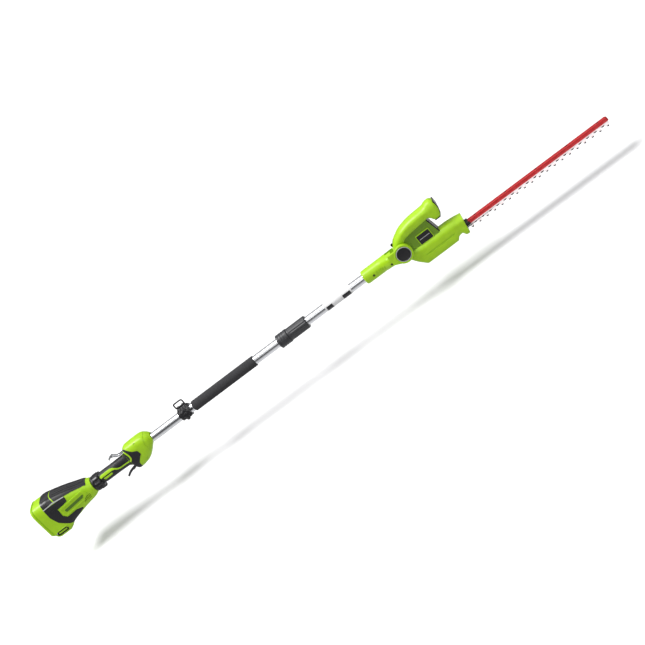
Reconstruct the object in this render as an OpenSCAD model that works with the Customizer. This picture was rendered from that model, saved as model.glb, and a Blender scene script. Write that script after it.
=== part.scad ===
// Pole hedge trimmer in millimetres.
// X runs along the pole from the battery housing to the blade, Y points left and Z points up.
// The pole's axis is y = 0, z = 0, and x = 0 is the rim of the battery housing.

/* [Pole] */
// Outside diameter of both aluminium tubes
tube_d = 28; // [27:0.5:28]
// Wall thickness of both tubes
tube_wall = 1.5; // [1.2:0.1:2]
// Where the lower tube starts, inside the guard
lower_tube_start = 362; // [360:1:366]
// Where the lower tube ends, inside the coupler
lower_tube_end = 1005; // [1000:1:1006]
// Where the upper tube ends, inside the neck
upper_tube_end = 1340; // [1330:1:1340]
// Where the foam grip starts
foam_start = 620; // [616:1:640]
// Length of the foam grip
foam_length = 242; // [220:1:260]
// Thickness of the foam grip
foam_wall = 2.8; // [2:0.1:4]
// Middle of the harness clamp
clamp_x = 589; // [560:1:592]

/* [Battery housing] */
// Half width of the battery housing at its rim
housing_half = 43.5; // [42:0.5:45]
// Wall thickness of the moulded shells
shell_wall = 2.6; // [2.2:0.1:3]
// Where the battery bay ends
bay_depth = 75; // [70:1:78]

/* [Handle] */
// Height of the handle's axis below the pole's axis
handle_drop = 6; // [5:0.5:7]
// Height of the trigger's pivot
trigger_pivot_z = -32; // [-33:0.5:-31]
// Height of the lock-off lever's pivot
lock_pivot_z = 24; // [23:0.5:25]
// Where both lever pivots sit along the pole
lever_pivot_x = 374; // [373:1:376]

/* [Coupler] */
// Rear end of the coupler
coupler_start = 955; // [950:1:958]
// Front end of the coupler
coupler_end = 1063; // [1060:1:1066]
// Radius of the coupler's rear body
coupler_r = 22.3; // [21.5:0.1:23]
// Radius of the coupler's turning sleeve
coupler_nut_r = 20.6; // [20:0.1:21]

/* [Head] */
// Where the head's pivot crosses the pole's axis
pivot_x = 1420; // [1420:1:1420]
// Radius of the pivot's round cheeks
cheek_r = 29; // [28.5:0.5:29]
// Radius of the far cheek
far_cheek_r = 21; // [20:0.5:22]
// Half width of the head's housing
head_half = 26.5; // [26:0.5:26.5]
// Radius of the neck
neck_r = 22; // [21.5:0.5:22]
// Where the motor stands along the pole
motor_x = 1500; // [1499:1:1501]
// Radius of the motor's can
motor_r = 17.9; // [17:0.1:18]

/* [Drive] */
// Gear module
gear_module = 0.75; // [0.75:0.05:0.75]
// Teeth on the crank gear
crank_teeth = 48; // [48:1:48]
// Teeth on the motor pinion
pinion_teeth = 12; // [12:1:12]
// Thinning of each tooth for backlash
backlash = 0.12; // [0.1:0.01:0.16]

/* [Blade] */
// Distance from tooth to tooth
pitch = 26.3; // [26:0.1:26.6]
// Teeth along each edge of a blade
blade_teeth = 19; // [17:1:19]
// Middle of the first long tooth
first_tooth = 1627; // [1626:1:1630]
// Thickness of each blade
blade_t = 2; // [1.8:0.1:2]
// Height of the upper blade's top face
blade_top = -59; // [-59.2:0.1:-59]
// Half width of a blade without its teeth
blade_half = 13.5; // [13:0.5:14]
// Reach of the lower blade's long teeth from the middle
long_tooth = 34; // [32:1:35]
// Reach of the upper blade's short teeth from the middle
short_tooth = 21; // [20:1:22]
// Front end of the blade bar
bar_end = 2113; // [2110:1:2116]
// Half width of the blade bar
bar_half = 8; // [7.5:0.5:8]
// Height of the blade bar
bar_height = 11.5; // [11:0.5:11.5]

/* [Hidden] */
$fn = 48;
eps = 0.1;
tube_r = tube_d / 2;
run = 0.06;
seat = 0.03;
shell_seat = 0.15;
far = 200;
stroke = pitch / 4;
lower_top = blade_top - blade_t - 0.1;
gear_distance = gear_module * (crank_teeth + pinion_teeth) / 2;
crank_x = motor_x + gear_distance;
gear_low = -56;
gear_high = -48;
lever_pin_r = 2;
pivot_bolt_r = 6;
cheek_in = head_half + 0.5;
cheek_out = 38;
arc_steps = 14;
ring_steps = 28;
bolt_xs = [for (i = [0:4]) 1650 + 108 * i];

// ---- Lofted shells -------------------------------------------------------
// A station is [x, half width, top, bottom, squareness, wall], and may end with the
// squareness of its lower half. Squareness is 1 for an ellipse and nears 0 for a box.

housing = [
  [0, housing_half - 0.5, 57, -57, 0.45, shell_wall, 0.32],
  [20, housing_half, 61, -69, 0.45, shell_wall, 0.26],
  [60, housing_half - 0.5, 61.5, -70, 0.45, shell_wall, 0.26],
  [80, housing_half - 2, 58.5, -63, 0.54, shell_wall, 0.38],
  [121, housing_half - 6.5, 50, -54, 0.64, shell_wall, 0.5],
  [160, housing_half - 11.5, 39, -46, 0.7, shell_wall, 0.6],
  [190, housing_half - 15, 29.5, -41, 0.76, shell_wall, 0.7],
  [208, housing_half - 17.5, 18.5, -32, 1, shell_wall, 1]
];

handle = [
  [192, 15.5, 15.5 - handle_drop, -15.5 - handle_drop, 1, shell_wall],
  [239.4, 15.5, 15.5 - handle_drop, -15.5 - handle_drop, 1, shell_wall],
  [240, 17, 17 - handle_drop, -17 - handle_drop, 1, shell_wall],
  [290, 17.2, 17.6 - handle_drop, -17.6 - handle_drop, 0.95, shell_wall],
  [338, 18.4, 18.6 - handle_drop, -19 - handle_drop, 0.9, shell_wall],
  [352, 21, 22 - handle_drop, -27 - handle_drop, 0.8, shell_wall],
  [356, 26, 34, -53, 0.62, shell_wall],
  [362, 29, 36, -56, 0.6, shell_wall],
  [395, 30, 38, -50, 0.62, shell_wall],
  [420, 29.5, 38, -40, 0.65, shell_wall],
  [440, 27, 36, -24, 0.7, shell_wall],
  [449, 20, 21, -17, 0.9, shell_wall],
  [453, 16, 16, -16, 1, 16 - tube_r - shell_seat]
];

neck = [
  [1279, neck_r - 1.5, neck_r - 1.5, 1.5 - neck_r, 1, neck_r - 1.5 - tube_r - shell_seat],
  [1283, neck_r, neck_r, -neck_r, 1, neck_r - tube_r - shell_seat],
  [1334, neck_r, neck_r, -neck_r, 1, neck_r - tube_r - shell_seat],
  [1344, neck_r + 3, neck_r, -neck_r, 0.9, 3, 1],
  [1372, cheek_out, neck_r, -neck_r, 0.5, 3, 1],
  [1386, cheek_out, neck_r, -neck_r, 0.5, 3, 1]
];

function signed_power(v, q) = sign(v) * pow(abs(v), q);

function skin_point(s, a, inset) =
  let (half = s[1] - inset, top = s[2] - inset, bottom = s[3] + inset)
  let (q = sin(a) < 0 && len(s) > 6 ? s[6] : s[4])
  [
    s[0],
    half * signed_power(cos(a), q),
    (top + bottom) / 2 + (top - bottom) / 2 * signed_power(sin(a), q)
  ];

function station_at(stations, x) =
  let (k = max([for (i = [0:len(stations) - 2]) if (stations[i][0] <= x) i]))
  let (t = (x - stations[k][0]) / (stations[k + 1][0] - stations[k][0]))
  stations[k] * (1 - t) + stations[k + 1] * t;

function stretch(stations, x0, x1) = concat(
  [station_at(stations, x0)],
  [for (s = stations) if (s[0] > x0 && s[0] < x1) s],
  [station_at(stations, x1)]
);

// A curved skin over the angles a0 to a1, where 0 points left and 90 points up.
// Its outside is inset by out, and its inside by the wall or by inner.
module skin(stations, a0 = -90, a1 = 90, out = 0, inner = undef) {
  m = arc_steps;
  row = m + 1;
  last = len(stations) - 1;
  outside = [for (s = stations) for (i = [0:m]) skin_point(s, a0 + (a1 - a0) * i / m, out)];
  inside = [
    for (s = stations) for (i = [0:m])
      skin_point(s, a0 + (a1 - a0) * i / m, is_undef(inner) ? s[5] : inner)
  ];
  n = len(outside);
  faces = concat(
    [for (s = [0:last - 1]) for (i = [0:m - 1])
      [s * row + i, (s + 1) * row + i, (s + 1) * row + i + 1, s * row + i + 1]],
    [for (s = [0:last - 1]) for (i = [0:m - 1])
      [n + s * row + i, n + s * row + i + 1, n + (s + 1) * row + i + 1, n + (s + 1) * row + i]],
    [for (s = [0:last - 1]) [s * row, n + s * row, n + (s + 1) * row, (s + 1) * row]],
    [for (s = [0:last - 1])
      [s * row + m, (s + 1) * row + m, n + (s + 1) * row + m, n + s * row + m]],
    [for (i = [0:m - 1]) [i, i + 1, n + i + 1, n + i]],
    [for (i = [0:m - 1])
      [last * row + i, n + last * row + i, n + last * row + i + 1, last * row + i + 1]]
  );
  polyhedron(points = concat(outside, inside), faces = faces);
}

// A solid through the stations.
module loft(stations, inset = 0) {
  n = ring_steps;
  last = len(stations) - 1;
  points = [for (s = stations) for (i = [0:n - 1]) skin_point(s, (i + 0.5) * 360 / n, inset)];
  faces = concat(
    [for (s = [0:last - 1]) for (i = [0:n - 1])
      let (j = (i + 1) % n)
      [s * n + i, (s + 1) * n + i, (s + 1) * n + j, s * n + j]],
    [[for (i = [0:n - 1]) i]],
    [[for (i = [0:n - 1]) last * n + n - 1 - i]]
  );
  polyhedron(points = points, faces = faces);
}

// ---- Plain shapes --------------------------------------------------------

module along_x(x0, x1, r, y = 0, z = 0) {
  translate([x0, y, z]) rotate([0, 90, 0]) cylinder(h = x1 - x0, r = r);
}

module along_y(y0, y1, r, x, z) {
  translate([x, y0, z]) rotate([-90, 0, 0]) cylinder(h = y1 - y0, r = r);
}

module along_z(z0, z1, r, x, y = 0) {
  translate([x, y, z0]) cylinder(h = z1 - z0, r = r);
}

module block(x0, x1, y0, y1, z0, z1) {
  translate([x0, y0, z0]) cube([x1 - x0, y1 - y0, z1 - z0]);
}

// A profile drawn in X and Z, from y0 to y1.
module side_plate(points, y0, y1) {
  translate([0, y1, 0]) rotate([90, 0, 0]) linear_extrude(y1 - y0) polygon(points);
}

// A profile drawn in Y and Z, from x0 to x1.
module rail(points, x0, x1) {
  translate([x0, 0, 0]) rotate([90, 0, 90]) linear_extrude(x1 - x0) polygon(points);
}

module right_side() {
  mirror([0, 1, 0]) children();
}

// A coil along Y around x = 0, z = 0, from y = 0 to y = length.
module coil(r, wire, turns, length) {
  per_turn = 14;
  sides = 6;
  steps = turns * per_turn;
  points = [
    for (i = [0:steps]) for (k = [0:sides - 1])
      let (a = 360 * i / per_turn, b = 360 * k / sides, rr = r + wire * cos(b))
      [rr * cos(a), length * i / steps + wire * sin(b), -rr * sin(a)]
  ];
  faces = concat(
    [for (i = [0:steps - 1]) for (k = [0:sides - 1])
      let (j = (k + 1) % sides)
      [i * sides + k, i * sides + j, (i + 1) * sides + j, (i + 1) * sides + k]],
    [[for (k = [0:sides - 1]) sides - 1 - k]],
    [[for (k = [0:sides - 1]) steps * sides + k]]
  );
  polyhedron(points = points, faces = faces);
}

// ---- Involute gears ------------------------------------------------------

pressure = 25;

function involute_angle(r, base) =
  r <= base ? 0 : sqrt(r * r / (base * base) - 1) * 180 / PI - acos(base / r);

// Half of a tooth's angle at radius r.
function tooth_half(r, teeth) =
  let (rp = gear_module * teeth / 2, base = rp * cos(pressure))
  90 / teeth - backlash / 2 / rp * 180 / PI
  + involute_angle(rp, base) - involute_angle(r, base);

function gear_outline(teeth, turn) =
  let (rp = gear_module * teeth / 2)
  let (tip = rp + gear_module * 0.95, root = rp - gear_module * 1.25)
  let (radii = [for (i = [0:5]) root + (tip - root) * i / 5])
  [
    for (t = [0:teeth - 1])
      let (mid = turn + 360 * t / teeth)
      for (p = concat(
        [for (i = [0:5]) [radii[i], mid - tooth_half(radii[i], teeth)]],
        [for (i = [0:5]) [radii[5 - i], mid + tooth_half(radii[5 - i], teeth)]]
      ))
        [p[0] * cos(p[1]), p[0] * sin(p[1])]
  ];

// ---- Battery housing -----------------------------------------------------

screw_r = 1.8;
housing_screw_xs = [100, 180];
housing_screw_z = -20;
screw_hole_end = -5;
foot_z = -69.2;

module rear_shell() {
  difference() {
    skin(housing);
    block(0, bay_depth, -eps, housing_half, -far, foot_z);
  }
}

module rear_shell_left() {
  color("yellowgreen") rear_shell();
}

latch_x0 = 21;
latch_x1 = 54;
latch_z = -56;
latch_r = 8;
latch_gap = 0.5;
latch_out = -40;
latch_in = -33;
latch_room = -24;

// The latch button's outline, grown by gap, from y0 to y1.
module latch_slot(gap, y0, y1) {
  along_y(y0, y1, latch_r + gap, latch_x0, latch_z);
  along_y(y0, y1, latch_r + gap, latch_x1, latch_z);
  block(latch_x0, latch_x1, y0, y1, latch_z - latch_r - gap, latch_z + latch_r + gap);
}

module rear_shell_right() {
  color("yellowgreen")
  difference() {
    right_side() rear_shell();
    latch_slot(latch_gap, -housing_half - 1, latch_room);
    for (x = housing_screw_xs)
      along_y(-far, screw_hole_end, screw_r + seat, x, housing_screw_z);
  }
}

overlay_gap = 0.25;
grip_proud = 1.3;
panel_under = 1.7;
panel_proud = 2.7;

module top_cover() {
  color("#2b2c2e") skin(stretch(housing, 43, 204), 42, 138, -1.4, -overlay_gap);
}

module side_grip() {
  skin(stretch(housing, 46, 168), -30, 26, -grip_proud, -overlay_gap);
}

module side_grips() {
  color("#333436") side_grip();
  color("#333436")
  difference() {
    right_side() side_grip();
    latch_slot(latch_gap, -housing_half - 3, latch_room);
  }
}

module side_panel() {
  skin(stretch(housing, 84, 164), -8, 16, -panel_proud, -panel_under);
}

module side_panels() {
  color("yellowgreen") side_panel();
  color("yellowgreen") right_side() side_panel();
}

contact_ys = [-18, -6, 6, 18];
contact_half = 0.5;
contact_rise = 5;
bulkhead_t = 4;
rail_in = 26;
rail_out = 31;

module battery_bulkhead() {
  color("#222222")
  difference() {
    union() {
      loft(stretch(housing, bay_depth, bay_depth + bulkhead_t), shell_wall + 2.2);
      block(8, bay_depth + 1, rail_in, rail_out, 44, 49);
      block(8, bay_depth + 1, -rail_out, -rail_in, 44, 49);
    }
    for (y = contact_ys)
      block(bay_depth - 1, bay_depth + bulkhead_t + 1, y - contact_half - eps,
        y + contact_half + eps, -contact_rise - eps, contact_rise + eps);
  }
}

module battery_contacts() {
  for (y = contact_ys)
    color("goldenrod")
    block(bay_depth - 17, bay_depth + 11, y - contact_half, y + contact_half,
      -contact_rise, contact_rise);
}

module control_board() {
  color("darkgreen") block(92, 164, -22, 22, 10, 11.6);
  color("#222222") block(100, 116, -12, 4, 11.6, 20);
  color("silver") block(126, 150, -16, 16, 11.6, 26);
}

module battery_latch() {
  color("#222222") latch_slot(0, latch_out, latch_in);
}

// ---- Handle and guard ----------------------------------------------------

handle_screws = [[262, -6], [318, -6], [404, 26], [404, -32]];

module handle_shell() {
  difference() {
    skin(handle);
    block(344, 364, -eps, 7, trigger_pivot_z - 20, trigger_pivot_z + 5);
    block(344, 364, -eps, 8.5, lock_pivot_z - 12, lock_pivot_z + 5);
  }
}

module handle_shell_left() {
  color("yellowgreen") handle_shell();
}

module handle_shell_right() {
  color("yellowgreen")
  difference() {
    right_side() handle_shell();
    for (s = handle_screws) along_y(-far, screw_hole_end, screw_r + seat, s[0], s[1]);
  }
}

screw_length = 14;
screw_sink = 1.4;

module shell_screw(x, z, y_skin, length = screw_length) {
  along_y(y_skin - length, y_skin + 0.5, screw_r, x, z);
}

module shell_screws() {
  for (x = housing_screw_xs)
    color("gray") right_side()
    shell_screw(x, housing_screw_z, station_at(housing, x)[1] - screw_sink);
  for (s = handle_screws)
    color("gray") right_side() shell_screw(s[0], s[1], station_at(handle, s[0])[1] - screw_sink);
}

collar_start = 209;
collar_end = 239;
collar_r = 27.5;
collar_lobes = 8;
spigot_r = 15.5;

module handle_collar() {
  color("#1f2022")
  translate([0, 0, -handle_drop])
  difference() {
    along_x(collar_start, collar_end, collar_r);
    along_x(collar_start - 1, collar_end + 1, spigot_r + seat);
    for (i = [0:collar_lobes - 1])
      rotate([i * 360 / collar_lobes, 0, 0])
        along_x(collar_start + 9, collar_end + 1, 6, 0, collar_r + 3.5);
  }
}

grip_start = 242;
grip_end = 346;

module handle_overmould() {
  color("#2b2c2e")
  difference() {
    loft(stretch(handle, grip_start, grip_end), -grip_proud);
    loft(stretch(handle, grip_start - 1, grip_end + 1), -overlay_gap);
  }
}

trigger_profile = [
  [lever_pivot_x - 2, -29], [lever_pivot_x + 12, -31], [lever_pivot_x + 12, -35.4],
  [lever_pivot_x - 4, -38], [353, -45], [340, -47], [330, -50], [320, -55], [309, -58.5],
  [306.5, -55.5], [317, -50], [328, -44], [340, -40.5], [352, -38], [364, -33]
];

trigger_half = 5.5;

module trigger() {
  color("#4a4b4d")
  difference() {
    side_plate(trigger_profile, -trigger_half, trigger_half);
    along_y(-trigger_half - 1, trigger_half + 1, lever_pin_r + run, lever_pivot_x, trigger_pivot_z);
  }
}

lock_profile = [
  [lever_pivot_x + 6, 21.5], [lever_pivot_x + 6, 27], [lever_pivot_x - 6, 28],
  [358, 25.5], [346, 23.5], [330, 22.5], [321, 32], [316, 34], [310, 31], [300, 30],
  [299, 27], [311, 25], [318, 19], [326, 18.3], [350, 18.3], [364, 20]
];

lock_half = 7;

module lock_lever() {
  color("silver")
  difference() {
    side_plate(lock_profile, -lock_half, lock_half);
    along_y(-lock_half - 1, lock_half + 1, lever_pin_r + run, lever_pivot_x, lock_pivot_z);
  }
}

module lever_pins() {
  color("gray") along_y(-23, 23, lever_pin_r, lever_pivot_x, trigger_pivot_z);
  color("gray") along_y(-20, 20, lever_pin_r, lever_pivot_x, lock_pivot_z);
}

spring_y = 9.5;
spring_r = 3;
spring_wire = 0.5;
spring_turns = 5;
spring_length = 7;

module lever_spring(z) {
  translate([lever_pivot_x, spring_y, z])
    coil(spring_r, spring_wire, spring_turns, spring_length);
}

module lever_springs() {
  color("silver") lever_spring(trigger_pivot_z);
  color("silver") lever_spring(lock_pivot_z);
}

module power_switch() {
  color("#1f2022") block(376, 394, -5, 5, -46.5, -38.8);
}

// ---- Pole ----------------------------------------------------------------

module tube(x0, x1) {
  color("silver")
  difference() {
    along_x(x0, x1, tube_r);
    along_x(x0 - 1, x1 + 1, tube_r - tube_wall);
  }
}

module lower_tube() {
  tube(lower_tube_start, lower_tube_end);
}

cable_r = 3.2;
lower_cable_z = 1;
upper_cable_z = -1;
plug_pin_r = 1.1;
plug_pins = [for (a = [90, 210, 330]) [6 * cos(a), 6 * sin(a)]];
bore_r = tube_r - tube_wall;

module lower_cable() {
  color("#1f2022") along_x(168, lower_tube_end - 21, cable_r, 0, lower_cable_z);
}

module pole_socket() {
  color("#222222")
  difference() {
    along_x(lower_tube_end - 20, lower_tube_end - 1, bore_r - seat);
    for (p = plug_pins) along_x(lower_tube_end - 16, lower_tube_end, plug_pin_r + run, p[0], p[1]);
  }
}

foam_gap = 0.3;

module foam_grip() {
  color("#37383a")
  difference() {
    along_x(foam_start, foam_start + foam_length, tube_r + foam_gap + foam_wall);
    along_x(foam_start - 1, foam_start + foam_length + 1, tube_r + foam_gap);
  }
}

loop_z = 27;
loop_half = 15.3;
loop_height = 16.5;
loop_rod = 1.8;
lug_half = 6;
lug_outline = [
  [clamp_x - 20, 14], [clamp_x - 19, 19], [clamp_x - 13, 24], [clamp_x - 13, loop_z + 3.2],
  [clamp_x + 13, loop_z + 3.2], [clamp_x + 13, 24], [clamp_x + 19, 19], [clamp_x + 20, 14]
];
band_half = 22;
band_r = 18.5;
boss_r = 9;
boss_end = 25;
knob_x = clamp_x + 7;
knob_turn = 80;
knob_stem_r = 2.5;

module clamp_band() {
  color("#1f2022")
  difference() {
    union() {
      along_x(clamp_x - band_half, clamp_x + band_half, band_r);
      side_plate(lug_outline, -lug_half, lug_half);
      rotate([knob_turn, 0, 0]) along_z(10, boss_end, boss_r, knob_x);
    }
    along_x(clamp_x - band_half - 1, clamp_x + band_half + 1, tube_r + run);
    along_x(clamp_x - band_half - 1, clamp_x + band_half + 1, loop_rod + run, 0, loop_z);
    rotate([knob_turn, 0, 0]) along_z(5, boss_end + 1, knob_stem_r + run, knob_x);
  }
}

module harness_loop() {
  reach = loop_half + loop_rod;
  color("#1f2022")
  union() {
    along_x(clamp_x - reach, clamp_x + reach, loop_rod, 0, loop_z);
    along_x(clamp_x - reach, clamp_x + reach, loop_rod, 0, loop_z + loop_height);
    for (x = [-loop_half, loop_half])
      along_z(loop_z, loop_z + loop_height, loop_rod - seat, clamp_x + x);
  }
}

knob_r = 19;
knob_low = boss_end + 0.3;
knob_high = 36;
knob_lobes = 6;
first_notch = 52;
notch_r = 7;
notch_out = 4.2;

module clamp_knob() {
  color("#1f2022")
  rotate([knob_turn, 0, 0])
  difference() {
    union() {
      along_z(tube_r + 0.4, knob_low + 5, knob_stem_r, knob_x);
      along_z(knob_low, knob_high, knob_r, knob_x);
    }
    for (i = [0:knob_lobes - 1])
      translate([knob_x, 0, 0])
        rotate([0, 0, first_notch + i * 360 / knob_lobes])
          along_z(knob_low - 1, knob_high + 1, notch_r, knob_r + notch_out);
  }
}

coupler_step = 993;
coupler_thread_r = 17.4;
thread_end = 1050;

module coupler_body() {
  color("#37383a")
  difference() {
    union() {
      along_x(coupler_start, coupler_step, coupler_r);
      along_x(coupler_step - 1, thread_end, coupler_thread_r);
    }
    along_x(coupler_start - 1, thread_end + 1, tube_r + run);
    for (i = [0:2])
      translate([coupler_start + 6 + 8 * i, 0, 0]) rotate([0, 90, 0]) difference() {
        cylinder(h = 1.6, r = coupler_r + 1);
        cylinder(h = 1.6, r = coupler_r - 0.8);
      }
  }
}

module coupler_nut() {
  color("#37383a")
  difference() {
    along_x(coupler_step + 0.3, coupler_end, coupler_nut_r);
    along_x(coupler_step, thread_end + 1, coupler_thread_r + run);
    along_x(thread_end, coupler_end + 1, tube_r + 0.2);
    for (i = [0:11])
      rotate([30 * i, 0, 0]) along_x(1002, coupler_end + 1, 3, 0, coupler_nut_r + 2.2);
  }
}

module upper_tube() {
  tube(lower_tube_end + 2, upper_tube_end);
}

module pole_plug() {
  color("#222222")
  union() {
    along_x(lower_tube_end + 3, lower_tube_end + 24, bore_r - seat);
    for (p = plug_pins)
      along_x(lower_tube_end - 9, lower_tube_end + 4, plug_pin_r, p[0], p[1]);
  }
}

module upper_cable() {
  color("#1f2022") along_x(lower_tube_end + 25, 1368, cable_r, 0, upper_cable_z);
}

module blank_label() {
  color("white")
  difference() {
    along_x(1132, 1229, tube_r + 0.35);
    along_x(1131, 1230, tube_r + seat);
  }
}

// ---- Neck and tilt pivot -------------------------------------------------

neck_screws_at = [[1310, 6], [1374, screw_length]];
neck_screw_z = -4;
swing_r = 38.5;

// The room that the head's underside needs when it folds down.
fold_room = [
  [pivot_x - 24, 0], [pivot_x - 57, -20.5], [pivot_x - 59, -40], [pivot_x, -40]
];

cap_rim = 6.5;
cap_sink = 2;
plate_start = 1376;
cheek_low = -10;

// Half of the neck, with a round cheek of radius r on a plate from low to high.
module neck_shell(r, low, high) {
  difference() {
    union() {
      skin(neck);
      block(plate_start, pivot_x, cheek_in, cheek_out, low, high);
      along_y(cheek_in, cheek_out, r, pivot_x, 0);
    }
    along_y(-1, cheek_in, swing_r, pivot_x, 0);
    side_plate(fold_room, -1, cheek_in);
    block(1370, 1390, -1, 8, 0, 25);
    along_y(cheek_in - 1, cheek_out + 1, pivot_bolt_r + seat, pivot_x, 0);
    along_y(cheek_out - cap_sink, cheek_out + 1, r - cap_rim, pivot_x, 0);
  }
}

// The far side's shoulder slopes down, so that it stays behind the neck and the hub.
shoulder = [[4, neck_r + 0.2], [cheek_out + 1, 9.8], [cheek_out + 1, 40], [4, 40]];

module neck_shell_left() {
  color("yellowgreen")
  difference() {
    neck_shell(far_cheek_r, cheek_low, 9.8);
    rail(shoulder, 1336, 1398);
  }
}

module neck_shell_right() {
  color("yellowgreen")
  difference() {
    right_side() neck_shell(cheek_r, cheek_low, neck_r);
    for (s = neck_screws_at) along_y(-far, screw_hole_end, screw_r + seat, s[0], neck_screw_z);
  }
}

module neck_screws() {
  for (s = neck_screws_at)
    color("gray") right_side()
    shell_screw(s[0], neck_screw_z, station_at(neck, s[0])[1] - 1, s[1]);
}

module pivot_bolt() {
  color("gray") along_y(-cheek_out + cap_sink + eps, cheek_out - cap_sink - eps, pivot_bolt_r,
    pivot_x, 0);
}

module pivot_cap(r) {
  along_y(cheek_out - cap_sink + seat, cheek_out + 1.5, r - cap_rim - 0.1, pivot_x, 0);
}

module pivot_caps() {
  color("#333436") pivot_cap(far_cheek_r);
  color("#333436") right_side() pivot_cap(cheek_r);
}

wheel_r = 17;
wheel_half = 3.5;

module detent_wheel() {
  color("gray")
  difference() {
    along_y(-wheel_half, wheel_half, wheel_r, pivot_x, 0);
    along_y(-wheel_half - 1, wheel_half + 1, pivot_bolt_r + seat, pivot_x, 0);
    translate([pivot_x, 0, 0])
      for (i = [0:15])
        rotate([0, 22.5 * i + 2, 0]) block(-1.6, 1.6, -5, 5, wheel_r - 3, wheel_r + 1);
  }
}

// ---- Head ----------------------------------------------------------------

arm_outline = [
  [pivot_x - 14, 8], [pivot_x - 17, 29], [pivot_x - 2, 42], [1449, 59], [1488, 70],
  [1546, 72.5], [1556, 79], [1573, 79], [1579, 68], [1574, 34], [1567, 20], [1552, 20],
  [1542, 38], [1489, 32], [1446, 25], [pivot_x + 20, 0]
];
arm_hollow = [
  [1440, 34], [1452, 55], [1489, 66], [1547, 69], [1558, 75], [1570, 75], [1574, 67],
  [1570, 36], [1565, 28], [1554, 28], [1545, 43], [1489, 37], [1450, 31]
];
web_outline = [[pivot_x + 15, -24], [pivot_x + 20, 30], [1534, 40], [1529.5, 34], [1541.5, -24]];
prong_outline = [
  [pivot_x + 4, -28], [1442, -56], [1461, -77.5], [1567, -76], [1578, -67.5], [1590, -66.5],
  [1599, -78], [1608, -78], [1616, -19], [1560, -20], [1470, -20], [pivot_x + 22, -4],
  [pivot_x, 0]
];
prong_hollow = [
  [1456, -26], [1456, -60], [1466, -72.4], [1565, -71.4], [1576, -64.3], [1600, -64.3],
  [1605, -22.6], [1470, -22.6]
];
head_screw_spots = [[1462, 46], [1530, 55], [1452, -46], [1470, -66], [1586, -30]];

module head_shell() {
  difference() {
    union() {
      along_y(0, head_half, head_half, pivot_x, 0);
      side_plate(arm_outline, 0, head_half - 1.5);
      side_plate(web_outline, 0, 20.8);
      side_plate(prong_outline, 0, head_half);
    }
    side_plate(arm_hollow, -1, head_half - 4.5);
    side_plate(prong_hollow, -1, head_half - 2.5);
    translate([motor_x, 0, -30]) cylinder(h = 58, r = motor_r + 0.3);
    block(1598, 1620, -1, 22, -64.3, -44);
    along_y(-1, head_half + 1, pivot_bolt_r + run, pivot_x, 0);
    along_y(-1, wheel_half + 0.4, wheel_r + 0.6, pivot_x, 0);
    side_plate(lever_pocket, -1, 5);
  }
}

module head_shell_left() {
  color("yellowgreen") head_shell();
}

module head_shell_right() {
  color("yellowgreen")
  difference() {
    right_side() head_shell();
    for (s = head_screw_spots) along_y(-far, -10, screw_r + seat, s[0], s[1]);
  }
}

module head_screws() {
  for (s = head_screw_spots)
    color("gray") along_y(-head_half + 1.6, -head_half + 14, screw_r, s[0], s[1]);
}

module hook_pad() {
  color("#222222")
  side_plate([[1574.2, 34], [1579.2, 68], [1582, 66], [1577.5, 31], [1570, 17.5],
    [1552, 17.5], [1552, 19.9], [1567, 19.9]], -19, 19);
}

module front_vent() {
  color("#222222")
  side_plate([[1529.9, 33.5], [1541.5, -19.5], [1545, -19.5], [1533, 35.4]], -18, 18);
}

module blank_plate() {
  block(1476, 1519, 20.9, 22.1, -16, 13);
}

module blank_plates() {
  color("#222222") blank_plate();
  color("#222222") right_side() blank_plate();
}

lever_pin_x = pivot_x + 13;
lever_pin_z = 27;
lever_pocket = [
  [pivot_x - 30, 24], [pivot_x - 30, 48], [pivot_x - 8, 48], [lever_pin_x + 5, 34],
  [lever_pin_x + 5, 21], [pivot_x + 4, 16], [pivot_x - 8, 14]
];

module tilt_lever() {
  color("#222222")
  difference() {
    side_plate([
      [pivot_x - 20, 31], [pivot_x - 17, 26], [pivot_x - 5, 24], [pivot_x - 2, 17.4],
      [pivot_x + 0.4, 17.5], [pivot_x + 2, 23], [lever_pin_x + 4, 23],
      [lever_pin_x + 4, 31], [pivot_x - 3, 32], [pivot_x - 17, 34.5]
    ], -4, 4);
    along_y(-5, 5, 1.5 + run, lever_pin_x, lever_pin_z);
  }
}

module tilt_lever_pin() {
  color("gray") along_y(-4.9, 4.9, 1.5, lever_pin_x, lever_pin_z);
}

// ---- Motor and gears -----------------------------------------------------

motor_low = -36;
motor_high = 24;
shaft_r = 1.6;
crank_shaft_r = 4;

module motor_can() {
  color("gray")
  difference() {
    along_z(motor_low, motor_high, motor_r, motor_x);
    along_z(motor_low + 2, motor_high - 2, motor_r - 1.6, motor_x);
    along_z(motor_low - 1, motor_high + 1, shaft_r + run, motor_x);
  }
}

module armature() {
  color("peru")
  union() {
    along_z(motor_low + 8, motor_high - 16, 12.5, motor_x);
    along_z(gear_low - 1, motor_high - 0.5, shaft_r, motor_x);
    along_z(motor_high - 15, motor_high - 6, 6, motor_x);
  }
}

module pinion() {
  color("gold")
  translate([motor_x, 0, gear_low])
  difference() {
    linear_extrude(gear_high - gear_low) polygon(gear_outline(pinion_teeth, 0));
    translate([0, 0, -1]) cylinder(h = 12, r = shaft_r + seat);
  }
}

module crank_gear() {
  color("gold")
  translate([crank_x, 0, gear_low])
  difference() {
    linear_extrude(gear_high - gear_low)
      polygon(gear_outline(crank_teeth, 180 / crank_teeth));
    translate([0, 0, -1]) cylinder(h = 12, r = crank_shaft_r + seat);
  }
}

eccentric_r = 9;

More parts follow.
